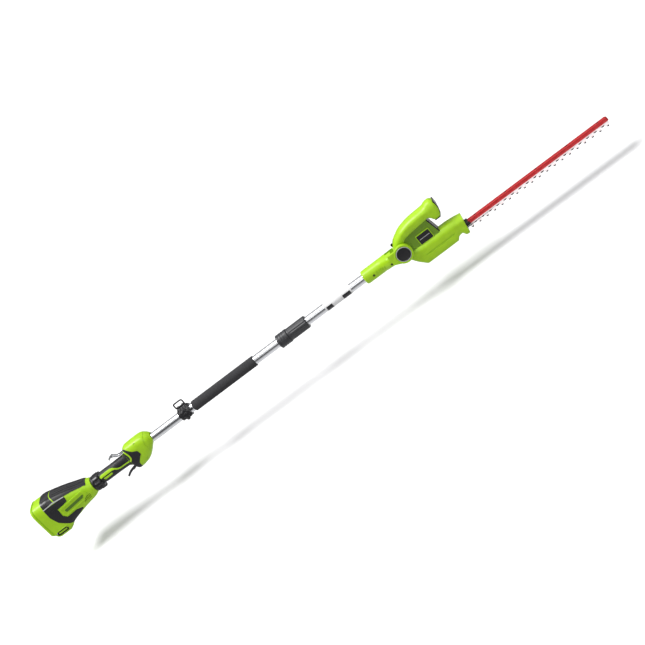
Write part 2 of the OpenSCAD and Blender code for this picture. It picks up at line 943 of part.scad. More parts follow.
module crank_shaft() {
  color("silver")
  union() {
    along_z(-69, -39.5, crank_shaft_r, crank_x);
    along_z(lower_top - blade_t - 0.25, lower_top + 0.05, eccentric_r, crank_x, -stroke);
    along_z(lower_top + 0.02, blade_top + 0.3, eccentric_r, crank_x, stroke);
  }
}

case_floor = gear_low - 2.3;
case_lid = gear_high + 1.2;
case_top = -37.5;
bearing_r = 9;
bearing_t = 5;

module gear_case() {
  color("lightgray")
  difference() {
    union() {
      along_z(case_floor, case_top, 22.2, crank_x);
      along_z(case_floor, case_top, 15, motor_x);
      block(crank_x, 1586, -13, 13, case_lid, case_top);
    }
    along_z(case_floor - 1, case_lid, 19.8, crank_x);
    along_z(case_floor - 1, case_lid, 6.6, motor_x);
    along_z(case_lid - 1, case_top + 1, 4, motor_x);
    along_z(case_lid - 1, case_lid + bearing_t + 0.2, bearing_r + seat, crank_x);
    along_z(case_lid, case_top + 1, crank_shaft_r + 1, crank_x);
  }
}

base_top = -64;
base_low = -71;

module gear_case_base() {
  color("lightgray")
  difference() {
    block(crank_x - 24, crank_x + 40, -20, 20, base_low, base_top);
    along_z(base_top - bearing_t - 0.2, base_top + 1, bearing_r + seat, crank_x);
  }
}

module bearing(z0) {
  difference() {
    along_z(z0, z0 + bearing_t, bearing_r, crank_x);
    along_z(z0 - 1, z0 + bearing_t + 1, crank_shaft_r + run, crank_x);
  }
}

module bearings() {
  color("silver") bearing(base_top - bearing_t - 0.1);
  color("silver") bearing(case_lid + 0.1);
}

// ---- Blades --------------------------------------------------------------

yoke_half = 20;
yoke_reach = 20.5;
slot_gap = 1.7;
tooth_base = 7.5;
tooth_tip = 3;
blade_front = first_tooth + pitch * (blade_teeth - 1) + tooth_base + 0.5;

function blade_outline(tip, first, count) =
  let (last = first + pitch * (count - 1))
  concat(
    [[crank_x + yoke_reach, blade_half]],
    [for (i = [0:count - 1])
      let (x = first + pitch * i)
      for (p = [[-tooth_base, blade_half], [-tooth_tip, tip], [tooth_tip, tip],
          [tooth_base, blade_half]])
        [x + p[0], p[1]]],
    [[blade_front, blade_half], [blade_front, -blade_half]],
    [for (i = [0:count - 1])
      let (x = last - pitch * i)
      for (p = [[tooth_base, -blade_half], [tooth_tip, -tip], [-tooth_tip, -tip],
          [-tooth_base, -blade_half]])
        [x + p[0], p[1]]],
    [
      [crank_x + yoke_reach, -blade_half], [crank_x + yoke_reach - 4, -yoke_half],
      [crank_x - yoke_reach + 4, -yoke_half], [crank_x - yoke_reach, -yoke_half + 6],
      [crank_x - yoke_reach, yoke_half - 6], [crank_x - yoke_reach + 4, yoke_half],
      [crank_x + yoke_reach - 4, yoke_half]
    ]
  );

module blade(tip, first, count, top) {
  slot_x = eccentric_r + slot_gap;
  slot_y = stroke + eccentric_r + 0.4;
  slide = stroke + 0.3;
  difference() {
    translate([0, 0, top - blade_t]) linear_extrude(blade_t)
      polygon(blade_outline(tip, first, count));
    block(crank_x - slot_x, crank_x + slot_x, -slot_y, slot_y, top - 3, top + 1);
    for (x = bolt_xs) {
      along_z(top - 3, top + 1, 3.5, x - slide);
      along_z(top - 3, top + 1, 3.5, x + slide);
      block(x - slide, x + slide, -3.2, 3.2, top - 3, top + 1);
    }
  }
}

module upper_blade() {
  color("#9aa0a5")
  blade(short_tooth, first_tooth + pitch / 2, blade_teeth - 1, blade_top);
}

module lower_blade() {
  color("#9aa0a5")
  blade(long_tooth, first_tooth, blade_teeth, lower_top);
}

module blade_bar() {
  low = blade_top + 0.1;
  high = blade_top + bar_height;
  color("crimson")
  rail([
    [-bar_half, low], [-bar_half, high - 2], [-bar_half + 2, high], [bar_half - 2, high],
    [bar_half, high - 2], [bar_half, low], [bar_half - 2, low], [bar_half - 2, high - 2.5],
    [2 - bar_half, high - 2.5], [2 - bar_half, low]
  ], 1548, bar_end);
}

bolt_r = 3;
bolt_head_r = 5.5;
bolt_head_t = 3.5;
bolt_nut_t = 4;

module blade_bolts() {
  for (x = bolt_xs)
    color("gray") union() {
      translate([x, 0, lower_top - blade_t - bolt_head_t - 0.2])
        cylinder(h = bolt_head_t, r = bolt_head_r, $fn = 6);
      along_z(lower_top - blade_t - 1, blade_top + 7, bolt_r, x);
      translate([x, 0, blade_top + 0.3]) cylinder(h = bolt_nut_t, r = bolt_head_r, $fn = 6);
    }
}

gate_start = 1603;
gate_end = 1622;
gate_half = 13;
gate_top = -44.2;

module blade_gate() {
  color("#1a1a1a")
  difference() {
    block(gate_start, gate_end, -gate_half, gate_half, blade_top + 0.3, gate_top);
    block(gate_start - 1, gate_end + 1, -bar_half - 0.2, bar_half + 0.2, blade_top,
      blade_top + bar_height + 0.2);
  }
}

rear_shell_left();
rear_shell_right();
top_cover();
side_grips();
side_panels();
battery_bulkhead();
battery_contacts();
control_board();
battery_latch();
shell_screws();
handle_collar();
handle_shell_left();
handle_shell_right();
handle_overmould();
trigger();
lock_lever();
lever_pins();
lever_springs();
power_switch();
lower_tube();
lower_cable();
pole_socket();
foam_grip();
clamp_band();
harness_loop();
clamp_knob();
coupler_body();
coupler_nut();
upper_tube();
pole_plug();
upper_cable();
blank_label();
neck_shell_left();
neck_shell_right();
neck_screws();
pivot_bolt();
pivot_caps();
detent_wheel();
head_shell_left();
head_shell_right();
head_screws();
hook_pad();
front_vent();
blank_plates();
tilt_lever();
tilt_lever_pin();
motor_can();
armature();
pinion();
gear_case();
gear_case_base();
bearings();
crank_gear();
crank_shaft();
upper_blade();
lower_blade();
blade_bar();
blade_bolts();
blade_gate();
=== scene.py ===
"""Looks for the pole hedge trimmer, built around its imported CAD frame.

Shapes are written in the frame's axes in millimetres and scaled to metres as each mesh is made.
X runs from the battery housing to the blade, Y points left and Z points up.
"""

import itertools
import math

import bmesh
import bpy
import numpy as np
from mathutils import Matrix, Vector


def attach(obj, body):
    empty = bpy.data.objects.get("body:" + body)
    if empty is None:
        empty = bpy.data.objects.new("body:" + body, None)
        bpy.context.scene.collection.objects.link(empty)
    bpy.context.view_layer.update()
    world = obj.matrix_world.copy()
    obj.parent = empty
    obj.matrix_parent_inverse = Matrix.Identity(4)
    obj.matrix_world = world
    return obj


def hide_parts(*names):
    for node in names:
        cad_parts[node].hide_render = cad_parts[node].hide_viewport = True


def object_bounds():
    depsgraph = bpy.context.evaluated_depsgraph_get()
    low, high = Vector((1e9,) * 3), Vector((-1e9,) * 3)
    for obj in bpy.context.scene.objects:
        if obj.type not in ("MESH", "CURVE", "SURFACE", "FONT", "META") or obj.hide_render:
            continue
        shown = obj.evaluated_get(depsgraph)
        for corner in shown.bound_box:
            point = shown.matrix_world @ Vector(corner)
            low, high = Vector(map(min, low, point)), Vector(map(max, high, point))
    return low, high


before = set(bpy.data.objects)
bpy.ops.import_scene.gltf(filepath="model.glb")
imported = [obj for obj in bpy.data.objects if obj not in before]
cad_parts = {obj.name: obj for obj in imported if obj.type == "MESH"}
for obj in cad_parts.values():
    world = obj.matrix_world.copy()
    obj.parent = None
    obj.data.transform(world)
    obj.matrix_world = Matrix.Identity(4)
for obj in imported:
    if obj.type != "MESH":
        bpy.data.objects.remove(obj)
cad_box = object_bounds()

MM = 0.001
RING = 112
PIVOT_X = 1420.0
TUBE_R = 14
SEAM = 0.15


# ---- Curves and rings ------------------------------------------------------


def smooth_rows(stations, xs):
    """The stations' columns at xs, by a cubic that doesn't overshoot them."""
    table = np.array(stations, float)
    x, y = table[:, 0], table[:, 1:]
    xs = np.clip(xs, x[0], x[-1])
    h = np.diff(x)[:, None]
    slope = np.diff(y, axis=0) / h
    m = np.zeros_like(y)
    m[0], m[-1] = slope[0], slope[-1]
    w1 = 2 * h[1:] + h[:-1]
    w2 = h[1:] + 2 * h[:-1]
    rising = slope[:-1] * slope[1:] > 0
    a = np.where(rising, slope[:-1], 1.0)
    b = np.where(rising, slope[1:], 1.0)
    m[1:-1] = np.where(rising, (w1 + w2) / (w1 / a + w2 / b), 0.0)
    k = np.clip(np.searchsorted(x, xs, side="right") - 1, 0, len(x) - 2)
    hk = h[k]
    t = (xs[:, None] - x[k][:, None]) / hk
    return (
        (1 + 2 * t) * (1 - t) ** 2 * y[k]
        + t * (1 - t) ** 2 * hk * m[k]
        + t * t * (3 - 2 * t) * y[k + 1]
        + t * t * (t - 1) * hk * m[k + 1]
    )


def even(points, count, closed=True):
    """count points spread evenly along a line."""
    p = np.array(points, float)
    if closed:
        p = np.vstack([p, p[:1]])
    run = np.concatenate([[0], np.cumsum(np.linalg.norm(np.diff(p, axis=0), axis=1))])
    at = np.linspace(0, run[-1], count + 1)[:-1] if closed else np.linspace(0, run[-1], count)
    return np.stack([np.interp(at, run, p[:, i]) for i in range(p.shape[1])], axis=1)


def ring(half, top, bottom, q_top, q_bottom, waist, count=RING):
    """A closed section in Y and Z. q is 1 for an ellipse and nears 0 for a box."""
    a = np.linspace(0, 2 * math.pi, 1440, endpoint=False)
    up = np.sin(a) >= 0
    n = np.where(up, 2 / q_top, 2 / q_bottom)
    rise = np.where(up, max(top - waist, 0.05), max(waist - bottom, 0.05))
    r = ((np.abs(np.cos(a)) / half) ** n + (np.abs(np.sin(a)) / rise) ** n) ** (-1 / n)
    return even(np.stack([r * np.cos(a), waist + r * np.sin(a)], axis=1), count)


def fillet(points, radius, steps=6):
    """An outline with its corners rounded. radius is one number or one per corner."""
    p = np.array(points, float)
    n = len(p)
    radii = np.broadcast_to(np.array(radius, float), (n,))
    out = []
    for i in range(n):
        a, c, b = p[i - 1], p[i], p[(i + 1) % n]
        u, v = a - c, b - c
        lu, lv = np.linalg.norm(u), np.linalg.norm(v)
        u, v = u / lu, v / lv
        half = math.acos(float(np.clip(u @ v, -1, 1))) / 2
        if radii[i] <= 0 or half > math.radians(88):
            out.append(c)
            continue
        reach = min(radii[i] / math.tan(half), 0.48 * lu, 0.48 * lv)
        r = reach * math.tan(half)
        centre = c + (u + v) / np.linalg.norm(u + v) * r / math.sin(half)
        start, stop = c + u * reach - centre, c + v * reach - centre
        a0 = math.atan2(start[1], start[0])
        turn = (math.atan2(stop[1], stop[0]) - a0 + math.pi) % (2 * math.pi) - math.pi
        for k in range(steps + 1):
            t = a0 + turn * k / steps
            out.append(centre + r * np.array([math.cos(t), math.sin(t)]))
    return np.array(out)


def rectangle(x0, x1, z0, z1, radius, steps=6):
    return fillet([(x0, z0), (x1, z0), (x1, z1), (x0, z1)], radius, steps)


def spline(points, count):
    """A smooth open line through points, sampled evenly."""
    p = np.array(points, float)
    knots = np.concatenate([[0], np.cumsum(np.linalg.norm(np.diff(p, axis=0), axis=1))])
    ts = np.linspace(0, knots[-1], 12 * len(p))
    pad = np.vstack([2 * p[0] - p[1], p, 2 * p[-1] - p[-2]])
    out = []
    for t in ts:
        k = min(int(np.searchsorted(knots, t, side="right")) - 1, len(p) - 2)
        s = (t - knots[k]) / (knots[k + 1] - knots[k])
        a, b, c, d = pad[k : k + 4]
        out.append(
            0.5 * (
                2 * b + (c - a) * s + (2 * a - 5 * b + 4 * c - d) * s * s + (3 * b - a - 3 * c + d) * s**3
            )
        )
    return even(out, count, closed=False)


# ---- Meshes ------------------------------------------------------------------


def new_object(name, points, faces):
    mesh = bpy.data.meshes.new(name)
    mesh.from_pydata([tuple(v) for v in np.array(points, float) * MM], [], [tuple(f) for f in faces])
    mesh.validate()
    obj = bpy.data.objects.new(name, mesh)
    bpy.context.scene.collection.objects.link(obj)
    return obj


def stack(name, rings, closed=False):
    """A closed solid through a list of rings with equal counts."""
    n, rows = len(rings[0]), len(rings)
    points = np.concatenate(rings)
    faces = []
    for s in range(rows if closed else rows - 1):
        nxt = (s + 1) % rows
        for i in range(n):
            j = (i + 1) % n
            faces.append((s * n + i, s * n + j, nxt * n + j, nxt * n + i))
    if not closed:
        faces.append(tuple(range(n - 1, -1, -1)))
        faces.append(tuple((rows - 1) * n + i for i in range(n)))
    obj = new_object(name, points, faces)
    bm = bmesh.new()
    bm.from_mesh(obj.data)
    bmesh.ops.recalc_face_normals(bm, faces=bm.faces)
    bm.to_mesh(obj.data)
    bm.free()
    return obj


def full(stations):
    """Fills in a station's left-out columns: both squareness values, then the waist."""
    rows = []
    for s in stations:
        s = list(s)
        if len(s) == 5:
            s.append(s[4])
        if len(s) == 6:
            s.append((s[2] + s[3]) / 2)
        rows.append(s)
    return rows


def loft(name, stations, x0, x1, grow=0.0, round0=0.0, round1=0.0, step=2.5, count=RING):
    """A solid through stations [x, half width, top, bottom, squareness...], with rounded ends."""
    quarter = np.linspace(0, math.pi / 2, 7)
    xs = [np.arange(x0 + round0, x1 - round1, step), [x1 - round1]]
    xs.append(x0 + round0 * (1 - np.cos(quarter)) if round0 else [x0])
    xs.append(x1 - round1 * (1 - np.cos(quarter)) if round1 else [x1])
    xs.append([s[0] for s in stations if x0 < s[0] < x1])
    xs = np.unique(np.round(np.concatenate(xs), 4))
    rows = smooth_rows(full(stations), xs)
    rings = []
    for x, (half, top, bottom, q_top, q_bottom, waist) in zip(xs, rows):
        inset = -grow
        for r, d in ((round0, x - x0), (round1, x1 - x)):
            if r and d < r:
                inset += r - math.sqrt(max(r * r - (r - d) ** 2, 0))
        section = ring(half - inset, top - inset, bottom + inset, q_top, q_bottom, waist, count)
        rings.append(np.column_stack([np.full(count, x), section]))
    return stack(name, rings)


def prism(outline, low, high, across="y"):
    """A solid with an outline in the two other axes (X, Z or X, Y or Y, Z), from low to high."""
    p = np.array(outline, float)

    def place(value):
        filled = np.full(len(p), value)
        columns = {"y": (p[:, 0], filled, p[:, 1]), "z": (p[:, 0], p[:, 1], filled)}
        return np.column_stack(columns.get(across, (filled, p[:, 0], p[:, 1])))

    return stack("prism", [place(low), place(high)])


def box(x0, x1, y0, y1, z0, z1):
    return prism([(x0, z0), (x1, z0), (x1, z1), (x0, z1)], y0, y1)


def disc(centre, radius, count=64):
    a = np.linspace(0, 2 * math.pi, count, endpoint=False)
    return np.column_stack([centre[0] + radius * np.cos(a), centre[1] + radius * np.sin(a)])


def rod(axis, low, high, radius, u=0.0, v=0.0, count=64):
    """A round bar along one axis; u and v are its place on the two others, in X, Y, Z order."""
    return prism(disc((u, v), radius, count), low, high, axis)


def turned(name, profile, axis="x", centre=(0, 0), shape=None, count=RING):
    """A solid of revolution through [along, radius] points. shape scales the radius with the angle."""
    a = np.linspace(0, 2 * math.pi, count, endpoint=False)
    rings = []
    for s, r in profile:
        scale = shape(a, s) if shape else 1.0
        u, v = centre[0] + r * scale * np.cos(a), centre[1] + r * scale * np.sin(a)
        w = np.full(count, s)
        rings.append(np.column_stack({"x": (w, u, v), "y": (u, w, v), "z": (u, v, w)}[axis]))
    return stack(name, rings)


def edge_round(s0, s1, r, radius, steps=5):
    """A turned profile from s0 to s1 at one radius, with both edges rounded."""
    t = np.linspace(0, math.pi / 2, steps)
    start = [(s0 + radius * (1 - math.cos(a)), r - radius * (1 - math.sin(a))) for a in t]
    stop = [(s1 - radius * (1 - math.cos(a)), r - radius * (1 - math.sin(a))) for a in t[::-1]]
    return start + stop


def sweep(name, path, half_width, half_depth, q=0.6, count=36, samples=48):
    """A bar with a rounded section along a line in X and Z. Widths are numbers or end-to-end lists."""
    line = spline(path, samples)
    along = np.gradient(line, axis=0)
    along /= np.linalg.norm(along, axis=1)[:, None]
    t = np.linspace(0, 1, samples)
    width = np.interp(t, np.linspace(0, 1, len(np.atleast_1d(half_width))), np.atleast_1d(half_width))
    depth = np.interp(t, np.linspace(0, 1, len(np.atleast_1d(half_depth))), np.atleast_1d(half_depth))
    length = np.concatenate([[0], np.cumsum(np.linalg.norm(np.diff(line, axis=0), axis=1))])
    rings = []
    for k in range(samples):
        end = min(length[k], length[-1] - length[k])
        cap = math.sqrt(max(1 - max(1 - end / depth[k], 0) ** 2, 0.04))
        section = ring(width[k] * (0.7 + 0.3 * cap), depth[k] * cap, -depth[k] * cap, q, q, 0.0, count)
        normal = np.array([-along[k][1], along[k][0]])
        rings.append(
            np.column_stack(
                [
                    line[k][0] + section[:, 1] * normal[0],
                    section[:, 0],
                    line[k][1] + section[:, 1] * normal[1],
                ]
            )
        )
    return stack(name, rings)


def tube_along(name, points, radius, closed=False, count=16):
    """A thin round line through 3-D points."""
    p = np.array(points, float)
    along = np.roll(p, -1, 0) - np.roll(p, 1, 0) if closed else np.gradient(p, axis=0)
    along /= np.linalg.norm(along, axis=1)[:, None]
    rings = []
    side = np.cross(along[0], [0.13, 0.2, 0.97])
    a = np.linspace(0, 2 * math.pi, count, endpoint=False)
    for c, t in zip(p, along):
        side = side - t * (side @ t)
        side /= np.linalg.norm(side)
        up = np.cross(t, side)
        rings.append(c + radius * (np.cos(a)[:, None] * side + np.sin(a)[:, None] * up))
    return stack(name, rings, closed)


# ---- Booleans ----------------------------------------------------------------


def combine(a, b, how):
    """a with b cut away, joined or kept in common. b is used up."""
    step = a.modifiers.new("step", "BOOLEAN")
    step.operation = how
    step.object = b
    step.solver = "MANIFOLD"
    graph = bpy.context.evaluated_depsgraph_get()
    mesh = bpy.data.meshes.new_from_object(a.evaluated_get(graph))
    a.modifiers.clear()
    old = a.data
    a.data = mesh
    bpy.data.meshes.remove(old)
    drop(b)
    if not len(mesh.polygons):
        raise RuntimeError("an empty solid: " + a.name)
    return a


def drop(obj):
    mesh = obj.data
    bpy.data.objects.remove(obj)
    bpy.data.meshes.remove(mesh)


def cut(a, *others):
    for b in others:
        combine(a, b, "DIFFERENCE")
    return a


def join(a, *others):
    for b in others:
        combine(a, b, "UNION")
    return a


def keep(a, b):
    return combine(a, b, "INTERSECT")


def copy(obj, name):
    twin = obj.copy()
    twin.data = obj.data.copy()
    twin.name = name
    bpy.context.scene.collection.objects.link(twin)
    return twin


def mirrored(obj, name=None):
    """A copy on the other side of y = 0."""
    twin = copy(obj, name or obj.name + "_mirror")
    twin.data.transform(Matrix.Diagonal((1, -1, 1, 1)))
    twin.data.flip_normals()
    return twin


def turn(obj, degrees, axis, centre=(0, 0, 0)):
    c = Vector(centre) * MM
    obj.data.transform(
        Matrix.Translation(c) @ Matrix.Rotation(math.radians(degrees), 4, axis) @ Matrix.Translation(-c)
    )
    return obj


def both(make):
    """The part that make builds, on both sides of y = 0."""
    one = make()
    return join(one, mirrored(one))


def halves(whole, left_name, right_name, reach):
    """Splits a solid at y = 0 into a left and a right moulding."""
    right = copy(whole, right_name)
    x0, x1, side, high = reach
    keep(whole, box(x0, x1, SEAM, side, -high, high))
    keep(right, box(x0, x1, -side, -SEAM, -high, high))
    whole.name = left_name
    return whole, right


# ---- Materials ---------------------------------------------------------------


class Look:
    """A procedural finish: mottled colour, uneven roughness, fine grain and rounded edges."""

    def __init__(self, name, colour, rough, metal=0.0):
        self.material = bpy.data.materials.new(name)
        self.material.use_nodes = True
        self.material.diffuse_color = (*colour, 1)
        self.nodes = self.material.node_tree.nodes
        self.links = self.material.node_tree.links
        self.shader = self.nodes["Principled BSDF"]
        self.shader.inputs["Metallic"].default_value = metal
        self.colour = colour
        self.rough = rough
        self.place = self.nodes.new("ShaderNodeTexCoord").outputs["Object"]
        self.normal = None

    def stretch(self, scale):
        node = self.nodes.new("ShaderNodeMapping")
        node.inputs["Scale"].default_value = scale
        self.links.new(self.place, node.inputs["Vector"])
        return node.outputs["Vector"]

    def noise(self, scale, detail=3.0, vector=None, rough=0.5):
        node = self.nodes.new("ShaderNodeTexNoise")
        node.inputs["Scale"].default_value = scale
        node.inputs["Detail"].default_value = detail
        node.inputs["Roughness"].default_value = rough
        self.links.new(vector or self.place, node.inputs["Vector"])
        return node.outputs["Fac"]

    def spread(self, value, low, high, a=0.3, b=0.7):
        node = self.nodes.new("ShaderNodeMapRange")
        for key, number in (("From Min", a), ("From Max", b), ("To Min", low), ("To Max", high)):
            node.inputs[key].default_value = number
        self.links.new(value, node.inputs["Value"])
        return node.outputs["Result"]

    def blend(self, fac, one, two):
        node = self.nodes.new("ShaderNodeMix")
        node.data_type = "RGBA"
        for key, value in (("A", one), ("B", two)):
            socket = [s for s in node.inputs if s.name == key and s.type == "RGBA"][0]
            if isinstance(value, tuple):
                socket.default_value = (*value, 1)
            else:
                self.links.new(value, socket)
        self.links.new(fac, node.inputs[0])
        return [s for s in node.outputs if s.type == "RGBA"][0]

    def math(self, how, a, b):
        node = self.nodes.new("ShaderNodeMath")
        node.operation = how
        for i, value in enumerate((a, b)):
            if isinstance(value, (int, float)):
                node.inputs[i].default_value = value
            else:
                self.links.new(value, node.inputs[i])
        return node.outputs[0]

    def mottle(self, amount, scale=45.0):
        darker = tuple(c * (1 - amount) for c in self.colour)
        lighter = tuple(min(c * (1 + amount), 1) for c in self.colour)
        self.colour_out = self.blend(self.spread(self.noise(scale), 0, 1), darker, lighter)
        self.links.new(self.colour_out, self.shader.inputs["Base Color"])
        return self

    def uneven(self, amount, scale=120.0, vector=None):
        value = self.spread(self.noise(scale, 4, vector), self.rough - amount, self.rough + amount)
        self.links.new(value, self.shader.inputs["Roughness"])
        return self

    def rounded(self, radius):
        node = self.nodes.new("ShaderNodeBevel")
        node.samples = 4
        node.inputs["Radius"].default_value = radius * MM
        self.normal = node.outputs["Normal"]
        self.links.new(self.normal, self.shader.inputs["Normal"])
        return self

    def bump(self, height, strength, distance=0.1):
        node = self.nodes.new("ShaderNodeBump")
        node.inputs["Strength"].default_value = strength
        node.inputs["Distance"].default_value = distance * MM
        self.links.new(height, node.inputs["Height"])
        if self.normal:
            self.links.new(self.normal, node.inputs["Normal"])
        self.normal = node.outputs["Normal"]
        self.links.new(self.normal, self.shader.inputs["Normal"])
        return self

    def set(self, **values):
        for key, value in values.items():
            self.shader.inputs[key.replace("_", " ")].default_value = value
        return self


def moulded(name, colour, rough, grain=1500.0, depth=0.25, bevel=0.7):
    """Moulded plastic with a fine spark-eroded grain."""
    look = Look(name, colour, rough).mottle(0.05).uneven(0.05).rounded(bevel)
    return look.bump(look.noise(grain, 2), depth, 0.06)


def make_looks():
    looks = {}
    lime = moulded("lime_plastic", (0.40, 0.70, 0.012), 0.36, 1300, 0.16, 0.9)
    lime.set(Coat_Weight=0.05, Coat_Roughness=0.3, Specular_IOR_Level=0.38)
    looks["lime"] = lime
    # painted shade: a darker lime for the web faces that lie in the arm's shadow
    looks["lime_painted_shade"] = moulded("lime_painted_shade", (0.155, 0.30, 0.010), 0.5, 1300, 0.2)
    looks["lime_deep"] = moulded("lime_recess", (0.085, 0.19, 0.008), 0.5, 1300, 0.2)
    looks["rubber"] = moulded("black_overmould", (0.021, 0.021, 0.024), 0.5, 900, 0.5, 0.5)
    looks["black"] = moulded("black_plastic", (0.015, 0.015, 0.017), 0.34, 1500, 0.25, 0.5)
    looks["grey"] = moulded("grey_plastic", (0.038, 0.039, 0.043), 0.42, 1500, 0.3, 0.5)
    looks["rubber"].set(Specular_IOR_Level=0.35)
    looks["trim"] = moulded("pale_trim", (0.50, 0.51, 0.52), 0.35, 1500, 0.2, 0.3)
    foam = Look("foam_rubber", (0.038, 0.038, 0.041), 0.92).mottle(0.18, 260).uneven(0.05)
    cells = foam.nodes.new("ShaderNodeTexVoronoi")
    cells.inputs["Scale"].default_value = 620
    foam.links.new(foam.place, cells.inputs["Vector"])
    foam.bump(cells.outputs["Distance"], 0.8, 0.5).bump(foam.noise(240, 3), 0.5, 0.5)
    looks["foam"] = foam
    tube = Look("tube_aluminium", (0.74, 0.75, 0.77), 0.2, 1.0).mottle(0.03, 12)
    lines = tube.stretch((0.4, 60.0, 60.0))
    tube.uneven(0.04, 30, lines)
    tube.bump(tube.noise(22, 4, lines), 0.05, 0.04)
    looks["tube"] = tube
    steel = Look("bright_steel", (0.56, 0.57, 0.58), 0.3, 1.0).mottle(0.06, 90).uneven(0.08, 240)
    looks["steel"] = steel.rounded(0.25).bump(steel.noise(500, 3), 0.15, 0.05)
    chrome = Look("plated_steel", (0.70, 0.71, 0.73), 0.16, 1.0).mottle(0.03).uneven(0.05, 200)
    looks["chrome"] = chrome.rounded(0.3).bump(chrome.noise(160, 2), 0.12, 0.05)
    dark = Look("dark_steel", (0.022, 0.022, 0.024), 0.46, 0.5).mottle(0.2, 140).uneven(0.1, 300)
    looks["dark_steel"] = dark.rounded(0.2).bump(dark.noise(700, 4), 0.3, 0.05)
    ground = Look("ground_steel", (0.88, 0.885, 0.89), 0.4, 0.35).mottle(0.05, 60)
    marks = ground.stretch((240.0, 6.0, 30.0))
    looks["ground_steel"] = ground.uneven(0.08, 10, marks).bump(ground.noise(8, 3, marks), 0.35, 0.04)
    red = Look("red_anodised", (0.55, 0.010, 0.014), 0.3, 0.25).mottle(0.06, 30)
    drawn = red.stretch((0.5, 50.0, 50.0))
    red.uneven(0.06, 20, drawn).rounded(0.5).bump(red.noise(14, 3, drawn), 0.1, 0.05)
    looks["red"] = red.set(Coat_Weight=0.3, Coat_Roughness=0.2)
    cast = Look("cast_aluminium", (0.58, 0.59, 0.60), 0.48, 1.0).mottle(0.08, 150).uneven(0.08)
    looks["cast"] = cast.bump(cast.noise(800, 4), 0.4, 0.1)
    brass = Look("cut_brass", (0.75, 0.52, 0.19), 0.28, 1.0).mottle(0.06, 200).uneven(0.08, 500)
    looks["brass"] = brass.bump(brass.noise(900, 2), 0.15, 0.04)
    copper = Look("wound_copper", (0.68, 0.27, 0.10), 0.34, 1.0).mottle(0.1, 300).uneven(0.06)
    turns = copper.nodes.new("ShaderNodeTexWave")
    turns.bands_direction = "Z"
    turns.inputs["Scale"].default_value = 340
    copper.links.new(copper.place, turns.inputs["Vector"])
    looks["copper"] = copper.bump(turns.outputs["Fac"], 0.7, 0.3)
    board = Look("circuit_board", (0.012, 0.10, 0.030), 0.4).mottle(0.25, 700).uneven(0.05)
    looks["board"] = board.bump(board.noise(1200, 2), 0.2, 0.05)
    cable = Look("cable_jacket", (0.020, 0.020, 0.022), 0.5).mottle(0.1, 300).uneven(0.06)
    looks["cable"] = cable.bump(cable.noise(600, 2), 0.3, 0.05)
    looks["label"] = sticker()
    return looks


def sticker():
    """A printed film in plain white with black areas and no lettering."""
    film = Look("plain_label", (0.86, 0.86, 0.86), 0.3)
    apart = film.nodes.new("ShaderNodeSeparateXYZ")
    film.links.new(film.place, apart.inputs[0])
    along = apart.outputs["X"]

    def band(first, last):
        inside = film.math("GREATER_THAN", along, first * MM)
        return film.math("MULTIPLY", inside, film.math("LESS_THAN", along, last * MM))

    dark = film.math("ADD", band(1136, 1158), band(1196, 1224))
    low = film.math("LESS_THAN", apart.outputs["Z"], 3.5 * MM)
    dark = film.math("MULTIPLY", dark, low)
    paper = film.blend(film.spread(film.noise(60), 0, 1), (0.80, 0.80, 0.80), (0.90, 0.90, 0.90))
    colour = film.blend(dark, paper, (0.020, 0.020, 0.022))
    film.links.new(colour, film.shader.inputs["Base Color"])
    return film.uneven(0.05, 80).bump(film.noise(400, 2), 0.1, 0.04)


LOOKS = make_looks()


def finish(obj, look, angle=32.0):
    """Sets the finish, smooth shading and the sharp edges of a piece."""
    obj.data.materials.clear()
    obj.data.materials.append(LOOKS[look].material)
    bm = bmesh.new()
    bm.from_mesh(obj.data)
    bmesh.ops.remove_doubles(bm, verts=bm.verts, dist=0.004 * MM)
    limit = math.radians(angle)
    for face in bm.faces:
        face.smooth = True
    for edge in bm.edges:
        edge.smooth = len(edge.link_faces) == 2 and edge.calc_face_angle(0) < limit
    bm.to_mesh(obj.data)
    bm.free()
    return obj


def piece(obj, name, look, body, nodes=(), angle=32.0):
    obj.name = name
    obj.data.name = name
    finish(obj, look, angle)
    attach(obj, body)
    if nodes:
        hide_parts(*nodes)
    return obj


def mouldings(whole, stem, body, node, reach):
    """The left and right green shells of one solid."""
    sides = ("left", "right")
    parts = halves(whole, *(f"{stem}_{side}" for side in sides), reach)
    return [
        piece(part, f"{stem}_{side}", "lime", body, [f"{node}_{side}"])
        for side, part in zip(sides, parts)
    ]


# ---- Battery housing ---------------------------------------------------------

WALL = 2.6
# [x, half width, top, bottom, upper squareness, lower squareness]
HOUSING = [
    [0, 43, 57.5, -58.5, 0.46, 0.24],
    [9, 43.4, 60, -65, 0.48, 0.2],
    [20, 43.5, 60.4, -70, 0.5, 0.2],
    [60, 43, 59.4, -70.2, 0.54, 0.22],
    [72, 42.2, 57.4, -66, 0.58, 0.3],
    [84, 41, 55, -58.6, 0.62, 0.4],
    [121, 37, 46.6, -50, 0.68, 0.5],
    [160, 32, 34.6, -42.6, 0.74, 0.6],
    [190, 28.5, 25, -38.6, 0.8, 0.7],
    [208, 26, 17, -32, 1, 1],
]
GRIP_EDGE = fillet(
    [
        (42, 37.2), (121, 32.4), (119, 16), (79, 10), (76, -14), (87, -27), (121, -26), (145, -36),
        (123, -44), (84, -56), (50, -24), (41, 4),
    ],
    [2, 5, 4, 6, 5, 4, 6, 3, 12, 8, 16, 14],
)
PLATE_EDGE = fillet([(79.6, 10.4), (85.6, -23.4), (162, -19), (184, -3), (173, 13.4)], [2, 2, 8, 3, 6])
LATCH_X = (24, 55)
LATCH_Z = -55


